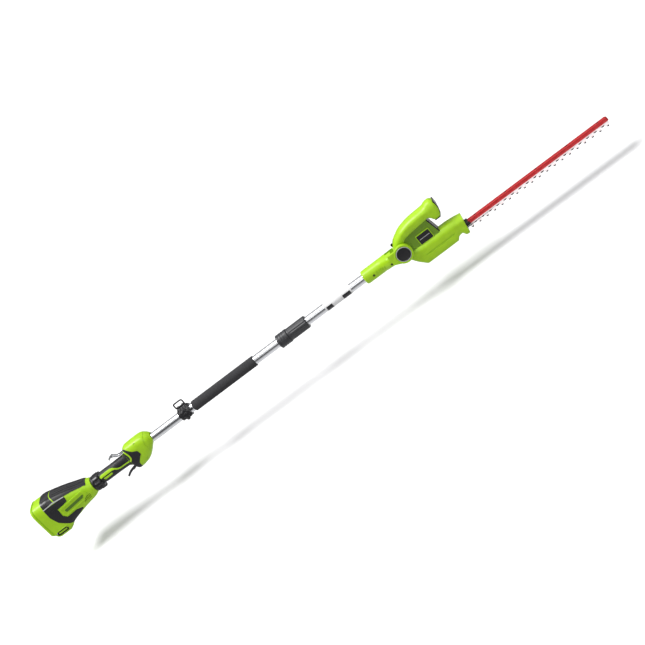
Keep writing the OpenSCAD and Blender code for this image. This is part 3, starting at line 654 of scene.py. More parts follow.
def oval(radius):
    """The latch button's outline in X and Z."""
    a = np.linspace(math.pi / 2, 3 * math.pi / 2, 20)
    left = np.column_stack([LATCH_X[0] + radius * np.cos(a), LATCH_Z + radius * np.sin(a)])
    right = np.column_stack([LATCH_X[1] - radius * np.cos(a), LATCH_Z - radius * np.sin(a)])
    return np.concatenate([left, right])


def patch(outline, out, into=0.4, reach=(12, 60), source=HOUSING, ends=(30, 207)):
    """A raised skin patch on the left side, with an outline seen from the side."""
    solid = loft("patch", source, *ends, grow=out)
    keep(solid, prism(outline, *reach))
    return cut(solid, loft("inside", source, ends[0] - 5, ends[1] + 1, grow=-into))


def layer(stations, span, outer, core_span, inner, step=2.5):
    """What lies between two offsets of a lofted surface, as a tool that cuts a groove into it."""
    solid = loft("layer", stations, *span, grow=outer, step=step)
    return cut(solid, loft("core", stations, *core_span, grow=inner, step=step))


def build_housing():
    body = loft("housing", HOUSING, 0, 208, round0=1.2, step=3)
    cut(body, loft("bay", HOUSING, -2, 205, grow=-WALL, step=3))
    low_corner = [(-8, -47), (3, -47), (26, -71), (26, -90), (-8, -90)]
    cut(body, prism(low_corner, -60, 60))
    cut(body, layer(HOUSING, (8.4, 11), 2, (7, 13), -1.5, 1))
    lip = cut(
        loft("lip", HOUSING, 0.4, 6.4, grow=1.0, round0=0.8, round1=0.8, step=1),
        loft("core", HOUSING, -2, 9, grow=-1, step=1),
    )
    cut(lip, prism(low_corner, -60, 60))
    join(body, lip)
    latch_rim = keep(loft("rim", HOUSING, 4, 76, grow=1.4), prism(oval(9.9), -60, -15))
    cut(latch_rim, prism(low_corner, -60, 60))
    join(body, cut(latch_rim, loft("core", HOUSING, 0, 80, grow=-1.0)))
    cut(body, prism(oval(7.6), -60, -24))
    for k in range(6):
        x = 158 + 4.6 * k
        slot = fillet([(x, -27), (x + 1.8, -27), (x + 7, -12), (x + 5.2, -12)], 0.8)
        cut(body, prism(slot, -60, -15), prism(slot, 15, 60))
    mouldings(body, "rear_housing", "handle_frame", "rear_shell", (-5, 212, 60, 90))


def build_housing_trim():
    top_edge = fillet(
        [(43, 38.5), (78, 41.5), (146, 29), (195, 15.4), (200, 75), (40, 75)], [3, 12, 30, 3, 3, 3],
    )
    cover = keep(loft("cover", HOUSING, 42, 200, grow=1.1), prism(top_edge, -60, 60))
    raised = fillet([(84, -16), (172, -13), (190, -9), (190, 9), (172, 13), (84, 16)], [3, 8, 6, 6, 8, 3])
    crown = keep(loft("crown", HOUSING, 80, 196, grow=2.2), prism(raised, 0, 90, "z"))
    for y in (-7.5, 7.5):
        cut(crown, keep(loft("slot", HOUSING, 92, 186, grow=5), box(92, 184, y - 1.4, y + 1.4, 14, 90)))
    join(crown, keep(loft("floor", HOUSING, 86, 188, grow=1.4), box(86, 188, -12, 12, 10, 90)))
    join(cover, crown)
    for side in (-1, 1):
        rail = fillet([(48, 20 * side), (190, 15 * side), (192, 18.5 * side), (48, 26 * side)], 1.6)
        join(cover, keep(loft("rail", HOUSING, 46, 198, grow=2.0), prism(rail, 8, 90, "z")))
        gutter = layer(HOUSING, (50, 196), 4, (46, 200), 0.1)
        lane = fillet([(50, 27.4 * side), (188, 19.6 * side), (190, 24 * side), (50, 33.4 * side)], 1.4)
        cut(cover, keep(gutter, prism(lane, 8, 90, "z")))
    chevron = [(73, 0), (75, 22), (81, 35), (92, 50), (96, 50), (84.4, 34), (78.4, 21), (76.4, 0)]
    chevron += [(x, -y) for x, y in chevron[-2:0:-1]]
    cut(cover, prism(chevron, 10, 90, "z"))
    cut(cover, loft("inside", HOUSING, 30, 207, grow=-0.5))
    piece(cover, "top_panel", "black", "handle_frame", ["top_cover"])

    def grip():
        notch = fillet([(77.4, 13), (83.8, -25.8), (164, -22), (188, -3), (175, 16)], [2.4, 2.4, 8, 3, 6])
        pad = patch(GRIP_EDGE, 1.0)
        cut(pad, prism(notch, 5, 60))
        for k in range(4):
            z = 30 - 5.2 * k
            line = layer(HOUSING, (44, 120), 3, (40, 124), 0.45)
            cut(pad, keep(line, box(52 + k, 112, 5, 60, z - 0.6, z + 0.6)))
        return pad

    grips = both(grip)
    cut(grips, prism(oval(12.2), -60, -15))
    piece(grips, "side_pads", "rubber", "handle_frame", ["side_grips"])

    def plate():
        slab = patch(PLATE_EDGE, 2.5)
        inner = fillet([(86.6, 5), (90.6, -18.4), (160, -14), (175, -3), (167.5, 8.6)], [1.5, 1.5, 6, 2, 5])
        pocket = layer(HOUSING, (80, 180), 4, (76, 184), 1.3)
        return cut(slab, keep(pocket, prism(inner, 5, 60)))

    piece(both(plate), "name_plates", "lime", "handle_frame", ["side_panels"])

    def strip():
        line = [(42, 39.6), (78, 40.4), (118, 33.8), (119, 31.6), (78, 37.8), (42, 37)]
        return patch(line, 1.9)

    piece(both(strip), "pale_strips", "trim", "handle_frame")

    def bar():
        return patch(fillet([(93, -2.6), (95.4, -12.4), (163, -8.6), (171, 1)], 1.8), 2.2)

    piece(both(bar), "plate_bars", "lime_deep", "handle_frame")


def build_latch():
    button = prism(oval(7.1), -40.6, -33)
    cut(button, prism(oval(5.4), -42, -39.6))
    piece(button, "latch_button", "black", "battery_latch", ["battery_latch"])
    bar = rectangle(23, 56, -57.4, -52.6, 2.3)
    piece(prism(bar, -41.4, -39.6), "latch_bar", "lime", "battery_latch")


# ---- Handle ------------------------------------------------------------------

AXIS_Z = -6
HANDLE = [
    [192, 15.5, 9.5, -21.5, 1],
    [236, 15.5, 9.5, -21.5, 1],
    [240, 17, 11, -23, 1],
    [262, 17.6, 11.8, -24.8, 0.95],
    [290, 17.2, 11.6, -24.8, 0.95],
    [338, 18.4, 12.6, -25.6, 0.9],
    [352, 21, 16, -33, 0.8],
    [360, 24, 24, -44, 0.7],
]
# [x, half width, top, bottom, upper squareness, lower squareness, height of the widest line]
GUARD = [
    [353, 20, 17, -32, 0.8, 0.7, -7],
    [356, 25.5, 28, -42, 0.76, 0.66, -7],
    [362, 28.6, 34.4, -49.6, 0.72, 0.62, -6],
    [370, 29.4, 36, -52, 0.7, 0.6, -5],
    [395, 30, 36.6, -48.6, 0.68, 0.64, 0],
    [418, 29.8, 36.4, -38.4, 0.66, 0.66, 4],
    [430, 29.6, 34.6, -28.6, 0.66, 0.68, 4],
    [438, 29, 31, -21.6, 0.68, 0.7, 3],
    [446, 26.4, 26, -14.6, 0.74, 0.76, 2],
    [452, 22, 20.6, -9, 0.86, 0.86, 2],
    [456, 18.4, 16.6, -5.4, 0.9, 0.9, 2],
]


# [section table, x, z]
GUARD_SCREWS = ((GUARD, 404, 26), (GUARD, 404, -32))
SCREW_POCKET_R = 4.0


def surface_y(stations, x, z, grow):
    """The half width of a lofted surface at one place along it and one height."""
    half, top, bottom, q_top, q_bottom, waist = smooth_rows(full(stations), np.array([float(x)]))[0]
    rise = top + grow - waist if z > waist else waist - bottom + grow
    n = 2 / (q_top if z > waist else q_bottom)
    return (half + grow) * max(1 - min(abs(z - waist) / rise, 1) ** n, 0) ** (1 / n)


def screw_pockets(body, screws, depth):
    """Round pockets on the right side, each depth below the surface around it."""
    for table, x, z in screws:
        cut(body, rod("y", -40, depth - surface_y(table, x, z, 0), SCREW_POCKET_R, x, z, 32))


def build_handle():
    core = join(
        loft("handle", HANDLE, 192, 358, step=3),
        loft("guard", GUARD, 353, 456, round0=1.5, round1=2.5, step=2),
    )
    seam_step = layer(GUARD, (380, 456), 3, (376, 456), -0.8)
    front = fillet(
        [(431, -16), (429.6, 8), (433, 17), (440, 32), (441, 44), (466, 44), (466, -40), (446, -40)],
        [10, 10, 12, 4, 0, 0, 0, 0],
    )
    cut(core, keep(seam_step, prism(front, -60, 60)))
    cut(
        core, rod("x", 362, 470, TUBE_R + 0.12, 0, 0),
        turned("throat", [(448, 14.1), (452, 15.6), (458, 16.4)]),
    )
    cut(core, loft("hollow", HANDLE, 190, 340, grow=-WALL, step=4))
    cut(core, loft("hollow", GUARD, 361, 440, grow=-WALL, step=4))
    cut(core, box(346, 364, -7, 7, -52, -26), box(344, 366, -8.4, 8.4, 12, 30.5))
    screw_pockets(core, GUARD_SCREWS, 3.3)
    mouldings(core, "handle", "handle_frame", "handle_shell", (185, 465, 60, 90))


def build_saddle():
    edge = fillet(
        [
            (349, 33), (366, 31), (383, 13.6), (399, 5.6), (400.5, -9), (389, -18), (377, -30), (374, -48),
            (349, -48),
        ],
        [0, 3, 10, 6, 6, 8, 8, 2, 0],
    )
    saddle = keep(loft("saddle", GUARD, 352.4, 450, grow=0.9, round0=1.2), prism(edge, -60, 60))
    cut(saddle, loft("inside", GUARD, 354.5, 452, grow=-0.5))
    cut(saddle, box(340, 364, -7, 7, -54, -26), box(340, 366, -8.4, 8.4, 12, 30.5))
    cut(saddle, loft("handle", HANDLE, 330, 360, grow=-1.5))
    piece(saddle, "guard_saddle", "rubber", "handle_frame")


def build_overmould():
    grip = loft("grip", HANDLE, 240.8, 352.2, grow=1.2, step=2)
    cut(grip, loft("inside", HANDLE, 236, 356, grow=-0.4, step=4))
    for k in range(8):
        x = 305 + 4.6 * k
        groove = layer(HANDLE, (x, x + 1.7), 3, (x - 1, x + 3), 0.3, 1)
        window = [(x - 3, -7), (x + 5, -7), (x + 5, 8.5), (x - 3, 8.5)]
        cut(grip, keep(groove, join(prism(window, 6, 40), prism(window, -40, -6))))
    cut(grip, box(340, 366, -8.4, 8.4, 10, 30), box(344, 356, -6.8, 6.8, -42, -26))
    piece(grip, "handle_grip", "rubber", "handle_frame", ["handle_overmould"])

    def band():
        edge = [
            (244, -2), (241.5, 2), (244, 6.6), (252, 8), (283, 7.8), (294, 5.6), (306, -3.8), (315, -7.4),
            (352, -7.6),
        ]
        edge += [(352, -12), (314, -12), (304, -8.6), (296, -2.4), (288, -0.8), (250, -1)]
        return patch(
            fillet(edge, [2, 4, 4, 6, 12, 14, 14, 10, 0, 0, 10, 14, 10, 8, 2]), 1.9, 0.2, (6, 40), HANDLE,
            (238, 354),
        )

    piece(both(band), "handle_piping", "lime", "handle_frame")

    def bar():
        edge = fillet([(250, -4.6), (283, -5.2), (287, -8), (281, -11.4), (255, -12.2)], 1.5)
        return patch(edge, 1.9, 0.2, (6, 40), HANDLE, (244, 292))

    piece(both(bar), "handle_bars", "lime", "handle_frame")

    def hook():
        outer = [(352.6, -7.4), (358, -6.2), (363.4, 0), (364.4, 9), (361, 19), (355.5, 27)]
        inner = [(359.5, 29.5), (366, 20), (369.4, 9.6), (368.4, -2.4), (362, -10.4), (352.6, -12)]
        outline = np.concatenate([spline(outer, 20), spline(inner, 20)])
        return patch(outline, 1.9, 0.2, (8, 40), GUARD, (353.2, 372))

    piece(both(hook), "saddle_piping", "lime", "handle_frame")


def build_collar():
    start, stop, radius = 209, 240.6, 28.2

    def lobes(a, s):
        depth = 0.2 * min(max((s - 217) / 4, 0), 1)
        return 1 - depth * np.clip(0.5 - 0.85 * np.cos(8 * a + 0.6), 0, 1) ** 0.8

    profile = [(start, 21), (start + 0.6, 24.4), (start + 2, 25.8), (start + 6, 26.4), (start + 7.4, 26.4)]
    profile += [(start + 8.2, 25.6), (start + 9.4, 25.6), (start + 10.4, 26.8), (start + 12, radius)]
    profile += [(s, radius) for s in np.linspace(start + 14, stop - 6, 6)]
    profile += [(stop - 3, 27.6), (stop - 1.2, 26), (stop - 0.4, 23.6), (stop, 20)]
    collar = turned("collar", profile, "x", (0, AXIS_Z - 2.5), lobes, 192)
    cut(collar, rod("x", start - 2, stop + 2, 15.7, 0, AXIS_Z))
    piece(collar, "handle_nut", "black", "handle_frame", ["handle_collar"])


def build_levers():
    path = [
        (380, -33), (372, -33.5), (360, -36.2), (348, -40.6), (336, -43.4), (325, -46.6), (315, -51.4),
        (308, -56),
    ]
    lever = sweep("trigger", path, [5, 5.4, 5.4, 5.4, 5.4, 4.8], [3.8, 3.9, 3.8, 3.6, 3.4, 3.2], 0.6)
    rib = sweep(
        "rib", [(368, -35.5), (356, -40.4), (345, -45.2), (335, -48.4)], 1.2, [1.6, 2.4, 2.0, 1.2], 0.8,
    )
    join(lever, rib)
    join(lever, rod("y", -5.2, 5.2, 5.2, 374, -32))
    cut(lever, rod("y", -9, 9, 2.06, 374, -32))
    piece(lever, "trigger_lever", "grey", "trigger", ["trigger"])

    path = [
        (380, 24), (370, 23.4), (358, 22.6), (346, 21), (335, 21), (327, 23), (321, 27.4), (315, 31.4),
        (308.5, 31.6), (302.5, 29.4),
    ]
    lever = sweep(
        "lock", path, [6.4, 6.8, 6.8, 6.8, 6.8, 7.2, 7.6, 7.4], [3.4, 3.0, 2.8, 2.6, 2.8, 3.0, 2.8, 2.6],
        0.5, samples=64,
    )
    join(lever, rod("y", -7.4, 7.4, 3.4, 314.4, 31.8), rod("y", -6.6, 6.6, 2.9, 303, 29))
    join(lever, rod("y", -6.6, 6.6, 3.6, 374, 24))
    for k in range(3):
        cut(lever, rod("y", -9, 9, 0.7, 305.4 + 2.6 * k, 33.4 + 0.5 * k, 20))
    cut(lever, rod("y", -9, 9, 2.06, 374, 24))
    piece(lever, "lock_off_lever", "chrome", "lock_lever", ["lock_lever"])


# ---- Pole --------------------------------------------------------------------


def build_foam():
    start, stop = 620, 862
    steps = np.linspace(start, stop, 240)
    profile = []
    for s in steps:
        end = min(s - start, stop - s)
        pull = 2.4 * max(1 - end / 3.2, 0) ** 2
        profile.append((s, 17.0 - pull))
    count = 96
    grain = np.random.default_rng(7)
    table = grain.normal(0, 0.0035, (len(steps), count))
    table = (table + np.roll(table, 1, 0) + np.roll(table, 1, 1) + np.roll(table, -1, 1)) / 2
    rows = {round(s, 6): row for s, row in zip(steps, table)}
    foam = turned("foam", profile, "x", (0, 0), lambda a, s: 1 + rows[round(s, 6)], count)
    cut(foam, rod("x", start - 2, stop + 2, TUBE_R + 0.2, 0, 0, 96))
    piece(foam, "foam_sleeve", "foam", "handle_frame", ["foam_grip"], 40)


CLAMP_X = 589
LOOP_Z = 27
LOOP_WIRE_R = 2.25
KNOB_X = CLAMP_X + 7
KNOB_TURN = 80
FIRST_LOBE = math.radians(22)


def build_clamp():
    upper = turned("upper", edge_round(CLAMP_X - 21.5, CLAMP_X + 22, 18.5, 1.2))
    keep(upper, box(CLAMP_X - 30, CLAMP_X + 30, -30, 30, 0.3, 40))
    lower = turned("lower", edge_round(CLAMP_X - 20, CLAMP_X + 17.5, 18.2, 1.2))
    keep(lower, box(CLAMP_X - 30, CLAMP_X + 30, -30, 30, -40, -0.3))
    across = fillet(
        [(-18, 2), (-16.4, 10), (-5.4, 24.4), (5.4, 24.4), (16.4, 10), (18, 2)], [0, 5, 2, 2, 5, 0],
    )
    along = fillet(
        [(-21.5, 0.3), (-21.5, 13), (-15.6, 24.6), (15.6, 24.6), (22, 14), (22, 0.3)], [0, 3, 2, 2, 3, 0],
    )
    saddle = keep(
        prism(across, CLAMP_X - 25, CLAMP_X + 25, "x"), prism([(CLAMP_X + x, z) for x, z in along], -20, 20)
    )
    for x in (-13.5, -4.5, 4.5, 13.5):
        core = prism([(-13, 8), (-4.4, 23), (4.4, 23), (13, 8)], CLAMP_X - 25, CLAMP_X + 25, "x")
        cut(saddle, cut(box(CLAMP_X + x - 1, CLAMP_X + x + 1, -20, 20, 12, 26), core))

    def knuckle(x):
        x0, x1 = CLAMP_X + x - 3, CLAMP_X + x + 3
        return join(rod("x", x0, x1, 4.2, 0, LOOP_Z), box(x0, x1, -4.2, 4.2, 20, LOOP_Z))

    knuckles = [knuckle(x) for x in (-8.5, 8.5)]
    ear = prism(
        fillet([(8, -8), (22.5, -5.5), (22.5, 5.5), (8, 8)], [0, 2, 2, 0]), CLAMP_X - 16, CLAMP_X + 16, "x",
    )
    bolts = [rod("y", 20, 24, 3, CLAMP_X + x, 0, 6) for x in (-9, 9)]
    boss = turn(turned("boss", [(10, 10.6), (20, 9.8), (24, 9), (25, 8)], "z", (KNOB_X, 0)), KNOB_TURN, "X")
    band = join(upper, lower, saddle, ear, boss, *knuckles, *bolts)
    cut(band, rod("x", CLAMP_X - 25, CLAMP_X + 25, TUBE_R + 0.06, 0, 0, 96))
    cut(band, rod("x", CLAMP_X - 25, CLAMP_X + 25, 2.36, 0, LOOP_Z, 32))
    cut(band, turn(rod("z", 5, 27, 2.6, KNOB_X, 0, 32), KNOB_TURN, "X"))
    piece(band, "pole_clamp", "black", "harness_clamp", ["clamp_band"])

    outline = rectangle(-15.5, 16, 0, 16.8, [1.8, 1.8, 5, 5], 8)
    line = [(CLAMP_X + x, 0, LOOP_Z + z) for x, z in even(outline, 90)]
    piece(
        tube_along("loop", line, LOOP_WIRE_R, True), "harness_ring", "rubber", "harness_loop",
        ["harness_loop"],
    )

    def lobes(a, s):
        return 1 - 0.23 * (0.5 - 0.5 * np.cos(6 * (a - FIRST_LOBE))) ** 1.4

    profile = [
        (25.3, 12), (25.6, 16), (26.6, 18.2), (28.2, 19), (32.4, 19), (34.2, 18.2), (35.2, 16.2),
        (35.4, 13), (34.4, 10.4), (34.4, 7), (35.6, 5.6), (35.8, 1),
    ]
    knob = turned("knob", profile, "z", (KNOB_X, 0), lobes, 168)
    join(knob, rod("z", 14.5, 27, 2.5, KNOB_X, 0, 32))
    turn(knob, KNOB_TURN, "X")
    piece(knob, "clamp_knob_cap", "black", "clamp_knob", ["clamp_knob"])


def build_coupler():
    start, step_x, stop = 955, 993, 1063
    profile = edge_round(start, step_x, 22.3, 2.0)
    body = turned("coupler", profile, count=128)
    for k in range(3):
        x = start + 6.5 + 8.4 * k
        floor = [
            (x - 1, 22.6), (x, 22.3), (x + 0.8, 21.3), (x + 2.8, 21.3), (x + 3.6, 22.3), (x + 4.6, 22.6),
        ]
        cut(body, cut(turned("ring", [(x, 26), (x + 3.6, 26)]), turned("core", floor)))
    join(body, rod("x", step_x - 4, 1050, 17.4, 0, 0, 96))
    key = both(lambda: box(start + 8, step_x - 6, 20.6, 23.0, -5, 5))
    join(body, key)
    cut(body, rod("x", start - 2, 1060, TUBE_R + 0.06, 0, 0, 96))
    piece(body, "coupler_base", "grey", "handle_frame", ["coupler_body"])

    def flutes(a, s):
        fade = min(max((s - 1000) / 5, 0), 1) * min(max((1061 - s) / 2, 0), 1)
        return 1 - 0.055 * fade * np.clip(np.cos(12 * a), 0, 1) ** 1.6

    profile = [
        (step_x + 0.3, 19), (step_x + 0.8, 20.2), (step_x + 2, 20.6), (step_x + 6, 20.6), (1000.6, 20.2),
        (1001.6, 20.2), (1002.6, 20.6),
    ]
    profile += [(s, 20.6) for s in np.linspace(1005, 1058, 12)]
    profile += [(1060.4, 20.3), (1062, 19.3), (1063, 17.6)]
    nut = turned("nut", profile, "x", (0, 0), flutes, 192)
    cut(nut, rod("x", step_x - 1, 1051, 17.46, 0, 0, 96), rod("x", 1040, stop + 2, TUBE_R + 0.2, 0, 0, 96))
    piece(nut, "coupler_sleeve", "grey", "coupler_nut", ["coupler_nut"])


def build_label():
    film = turned("label", [(1132, 14.05), (1132.2, 14.33), (1228.8, 14.33), (1229, 14.05)], count=96)
    cut(film, rod("x", 1130, 1231, TUBE_R + 0.02, 0, 0, 96))
    piece(film, "plain_label", "label", "upper_pole", ["blank_label"])


# ---- Neck and pivot ----------------------------------------------------------

NECK = [
    [1279, 20.5, 20.5, -20.5, 1],
    [1283, 22, 22, -22, 0.96],
    [1334, 22.4, 22, -22, 0.9],
    [1346, 25.5, 22, -22, 0.82, 1],
    [1358, 32, 22, -22, 0.66, 1],
    [1372, 38, 22, -22, 0.5, 1],
    [1396, 38, 22, -22, 0.45, 1],
]
CHEEK_IN = 27
CHEEK_OUT = 38
CHEEK_R = 29
FAR_CHEEK_R = 21


def build_neck():
    body = loft("neck", NECK, 1279, 1392, round0=1.5)

    def cheek(radius, high, side):
        """One round cheek with its plate and rim, on one side."""
        a = np.linspace(-math.radians(100), math.radians(100), 48)
        arc = [(PIVOT_X + radius * math.cos(t), radius * math.sin(t)) for t in a]
        plate = prism(
            arc + [(1398, high), (1376, high), (1376, -10), (1398, -10 - 0.35 * radius)], CHEEK_IN,
            CHEEK_OUT,
        )
        rim = [
            (36, -4), (37.5, -0.2), (39.2, 0), (40.2, -1), (40.2, -3.6), (39.4, -4.8), (37, -5.6), (36, -6),
        ]
        join(plate, turned("rim", [(y, radius + r) for y, r in rim], "y", (PIVOT_X, 0)))
        cut(plate, rod("y", 36, 45, radius - 6.5, PIVOT_X, 0))
        return plate if side > 0 else mirror_in_place(plate)

    join(body, cheek(CHEEK_R, 22, -1), cheek(FAR_CHEEK_R, 9.8, 1))
    cut(body, rod("y", -CHEEK_IN, CHEEK_IN, 38.5, PIVOT_X, 0, 96))
    fold_room = [
        (PIVOT_X + x, z) for x,
        z in ((-24, 4), (-33, 0.6), (-51, -12), (-62, -20), (-68, -27), (-68, -40), (0, -40))
    ]
    cut(body, prism(fold_room, -CHEEK_IN, CHEEK_IN))
    cut(body, box(1370, 1400, -8, 8, 0, 25))
    cut(body, rod("x", 1270, 1342, TUBE_R + 0.1, 0, 0, 96))
    cut(body, loft("hollow", NECK, 1341, 1394, grow=-3))
    cut(
        body, rod("y", -45, -36, CHEEK_R - 6.5, PIVOT_X, 0),
        rod("y", 36, 45, FAR_CHEEK_R - 6.5, PIVOT_X, 0),
    )
    cut(body, rod("y", -45, 45, 6.05, PIVOT_X, 0))
    cut(body, prism([(4, 22.2), (39, 9.8), (39, 40), (4, 40)], 1336, 1398, "x"))
    for x, depth in ((1310, 20.6), (1374, 36.6)):
        cut(body, rod("y", -60, -depth, 4.1, x, -4, 32))
        cut(body, rod("y", depth, 60, 4.1, x, -4, 32))
    for x in (1322, 1329, 1336, 1343, 1350):
        slot = rectangle(x, x + 2.4, -9, 3, 1.1)
        cut(
            body, prism(slot, -60, -surface_y(NECK, x, -4, -0.9)),
            prism(slot, surface_y(NECK, x, -4, -0.9), 60),
        )
    mouldings(body, "neck", "upper_pole", "neck_shell", (1270, 1460, 60, 60))


def build_pivot():
    def cap(r, side):
        profile = [
            (36.1, r), (38.6, r), (39.4, r - 0.7), (39.4, r - 2.7), (38.7, r - 3.4), (38.7, r - 8),
            (39.1, r - 10), (39.2, 1),
        ]
        solid = turned("cap", profile, "y", (PIVOT_X, 0), count=96)
        return solid if side > 0 else mirror_in_place(solid)

    caps = join(cap(CHEEK_R - 6.7, -1), cap(FAR_CHEEK_R - 6.7, 1))
    piece(caps, "pivot_covers", "black", "upper_pole", ["pivot_caps"])

    def trim(r, side):
        profile = [(38.0, r + 0.4), (39.9, r + 0.4), (40.5, r - 0.1), (40.5, r - 1.3)]
        solid = turned("trim", profile, "y", (PIVOT_X, 0), count=96)
        cut(solid, rod("y", 37, 42, r - 1.2, PIVOT_X, 0, 96))
        return solid if side > 0 else mirror_in_place(solid)

    rings = join(trim(CHEEK_R - 6.5, -1), trim(FAR_CHEEK_R - 6.5, 1))
    piece(rings, "pivot_trim_rings", "trim", "upper_pole")


def screw_head(x, z, y, side):
    """A sunk pan head with a six-lobed recess, facing along Y."""
    profile = [(-2.2, 3.3), (-0.5, 3.3), (0.0, 2.6), (0.15, 1.4), (0.15, 0.3)]
    head = turned("head", profile, "y", (x, z), count=48)
    a = np.linspace(0, 2 * math.pi, 48, endpoint=False)
    r = 1.25 + 0.3 * np.cos(6 * a)
    star = np.column_stack([x + r * np.cos(a), z + r * np.sin(a)])
    cut(head, prism(star, -1.2, 1))
    if side < 0:
        head = mirror_in_place(head)
    head.data.transform(Matrix.Translation((0, y * MM, 0)))
    return head


def mirror_in_place(obj):
    obj.data.transform(Matrix.Diagonal((1, -1, 1, 1)))
    obj.data.flip_normals()
    return obj


def build_screws():
    def row(name, spots, body, node):
        heads = [
            join(screw_head(x, z, -y, -1), rod("y", -y + 1, -y + reach, 1.8, x, z, 24)) for x, z, y,
            reach in spots
        ]
        piece(join(*heads), name, "dark_steel", body, [node])

    handle = [(262, -6, 16.0, 13), (318, -6, 16.2, 13)]
    handle += [(x, z, surface_y(table, x, z, -1.7), 12) for table, x, z in GUARD_SCREWS]
    housing = [(100, -20, 38.0, 13), (180, -20, 27.0, 13)]
    row("housing_screw_heads", housing + handle, "handle_frame", "shell_screws")
    row("neck_screw_heads", [(1310, -4, 21.2, 6), (1374, -4, 37.2, 13)], "upper_pole", "neck_screws")
    head = [(x, z, surface_y(table, x, z, -1.8), 9 if table is ARM else 11) for table, x, z in HEAD_SCREWS]
    row("head_screw_heads", head, "head", "head_screws")


# ---- Head --------------------------------------------------------------------

ARM = [
    [1404, 17, 27, 9, 1, 0.9, 18],
    [1409, 20.5, 34.5, 5, 1, 0.9, 20],
    [1418, 23, 43.5, 2, 1, 0.8, 25],
    [1434, 25, 53, 10, 1, 0.74, 36],
    [1449, 25.6, 60.5, 24, 1, 0.7, 45],
    [1470, 26, 66.5, 27.4, 1, 0.68, 50],
    [1490, 26, 70, 29.6, 1, 0.66, 53],
    [1515, 26, 71.8, 32.4, 1, 0.62, 55],
    [1537, 25.8, 72.8, 35.2, 1, 0.56, 55],
    [1546, 25.6, 74.4, 29, 0.94, 0.4, 52],
    [1552, 25.4, 77, 21.0, 0.86, 0.32, 48],
    [1558, 25.2, 78.6, 19.2, 0.8, 0.32, 46],
    [1568, 24.8, 78.8, 19.4, 0.76, 0.34, 46],
    [1575, 23.6, 75.6, 25.6, 0.76, 0.4, 48],
    [1580, 21, 70, 38, 0.8, 0.6, 52],
]
PRONG = [
    [1422, 22, -2, -36, 0.8, 0.6, -16],
    [1434, 25.2, -8, -53, 0.76, 0.5, -26],
    [1446, 26.2, -10.5, -66.5, 0.78, 0.44, -32],
    [1460, 26.5, -11.5, -77.8, 0.8, 0.34, -34],
    [1476, 26.5, -12, -78, 0.82, 0.34, -35],
    [1567, 26.5, -12, -77.4, 0.86, 0.34, -36],
    [1577, 26.4, -12.8, -68.4, 0.88, 0.46, -36],
    [1589, 26.2, -14, -66.4, 0.88, 0.5, -36],
    [1598, 25.9, -15.4, -76.8, 0.88, 0.32, -36],
    [1604, 25.6, -16.6, -78, 0.88, 0.32, -36],
    [1620, 24.8, -19, -78, 0.9, 0.34, -36],
]
LEVER_POCKET = [
    (PIVOT_X - 30, 24), (PIVOT_X - 30, 48), (PIVOT_X - 8, 48), (PIVOT_X + 18, 34),
    (PIVOT_X + 18, 21), (PIVOT_X + 4, 16), (PIVOT_X - 8, 14),
]
WEB_HALF = 20.4
SIDE_PLATE = rectangle(1476, 1519, -17, 13, 2.5)
# [section table, x, z]
HEAD_SCREWS = ((ARM, 1462, 46), (ARM, 1530, 55), (PRONG, 1452, -46), (PRONG, 1470, -66), (PRONG, 1586, -30))
PRONG_HOLLOW = [
    (1456, -28), (1456, -60), (1466, -72.4), (1562, -71.4), (1567, -64.3), (1570, -28), (1470, -27),
]
FRONT_HOLLOW = [(1569, -28), (1569, -64.3), (1605, -64.3), (1605, -28)]


def build_head():
    hub = turned("hub", edge_round(-26.4, 26.4, 26.4, 1.2), "y", (PIVOT_X, 0))
    arm = loft("arm", ARM, 1404, 1580, round1=2.5, step=2)
    prong = loft("prong", PRONG, 1422, 1620, step=2)
    cut(prong, prism([(1619.2, 0), (1607, -90), (1650, -90), (1650, 0)], -40, 40))
    web = prism(
        fillet(
            [(1436, -26), (1438, 34), (1535, 44), (1529.2, 33), (1540.7, -20), (1540.7, -30)],
            [0, 0, 2, 4, 0, 0],
        ),
        -WEB_HALF, WEB_HALF,
    )
    body = join(hub, arm, prong, web)
    cut(
        body,
        both(
            lambda: prism(
                fillet([(1453, 24), (1450, -6), (1462, -17), (1533, -17), (1527, 30)], [6, 6, 8, 3, 3]),
                19.2, 23,
            )
        ),
    )

    def groove():
        edge = fillet(
            [(1468, -46.6), (1568, -46.0), (1574, -49), (1568, -51.4), (1476, -52), (1470, -50)], 1.6,
        )
        return prism(edge, 24.9, 40)

    cut(body, both(groove))
    cut(body, prism(PRONG_HOLLOW, -22.8, 22.8), prism(FRONT_HOLLOW, -15.5, 15.5))
    cut(body, box(1596, 1625, -22, 22, -64.2, -44))
    cut(body, rod("z", -30, 28, 18.2, 1500, 0, 96))
    cut(body, rod("y", -30, 30, 6.06, PIVOT_X, 0), rod("y", -3.9, 3.9, 17.6, PIVOT_X, 0))
    cut(body, prism(LEVER_POCKET, -5, 5))
    screw_pockets(body, HEAD_SCREWS, 3.4)
    for shell in mouldings(body, "head", "head", "head_shell", (1380, 1650, 60, 110)):
        paint_web_shade(shell)


def paint_web_shade(obj):
    """Paints shade on the sunk panel behind the hook: its faces get a darker lime material standing in for
    the shadow that the arm casts.
    """
    obj.data.materials.append(LOOKS["lime_painted_shade"].material)
    for face in obj.data.polygons:
        x, y, z = face.center / MM
        if 19 < abs(y) < WEB_HALF + 0.1 and 1436 < x < 1546 and -24 < z < 46 and abs(face.normal.y) > 0.9:
            face.material_index = 1


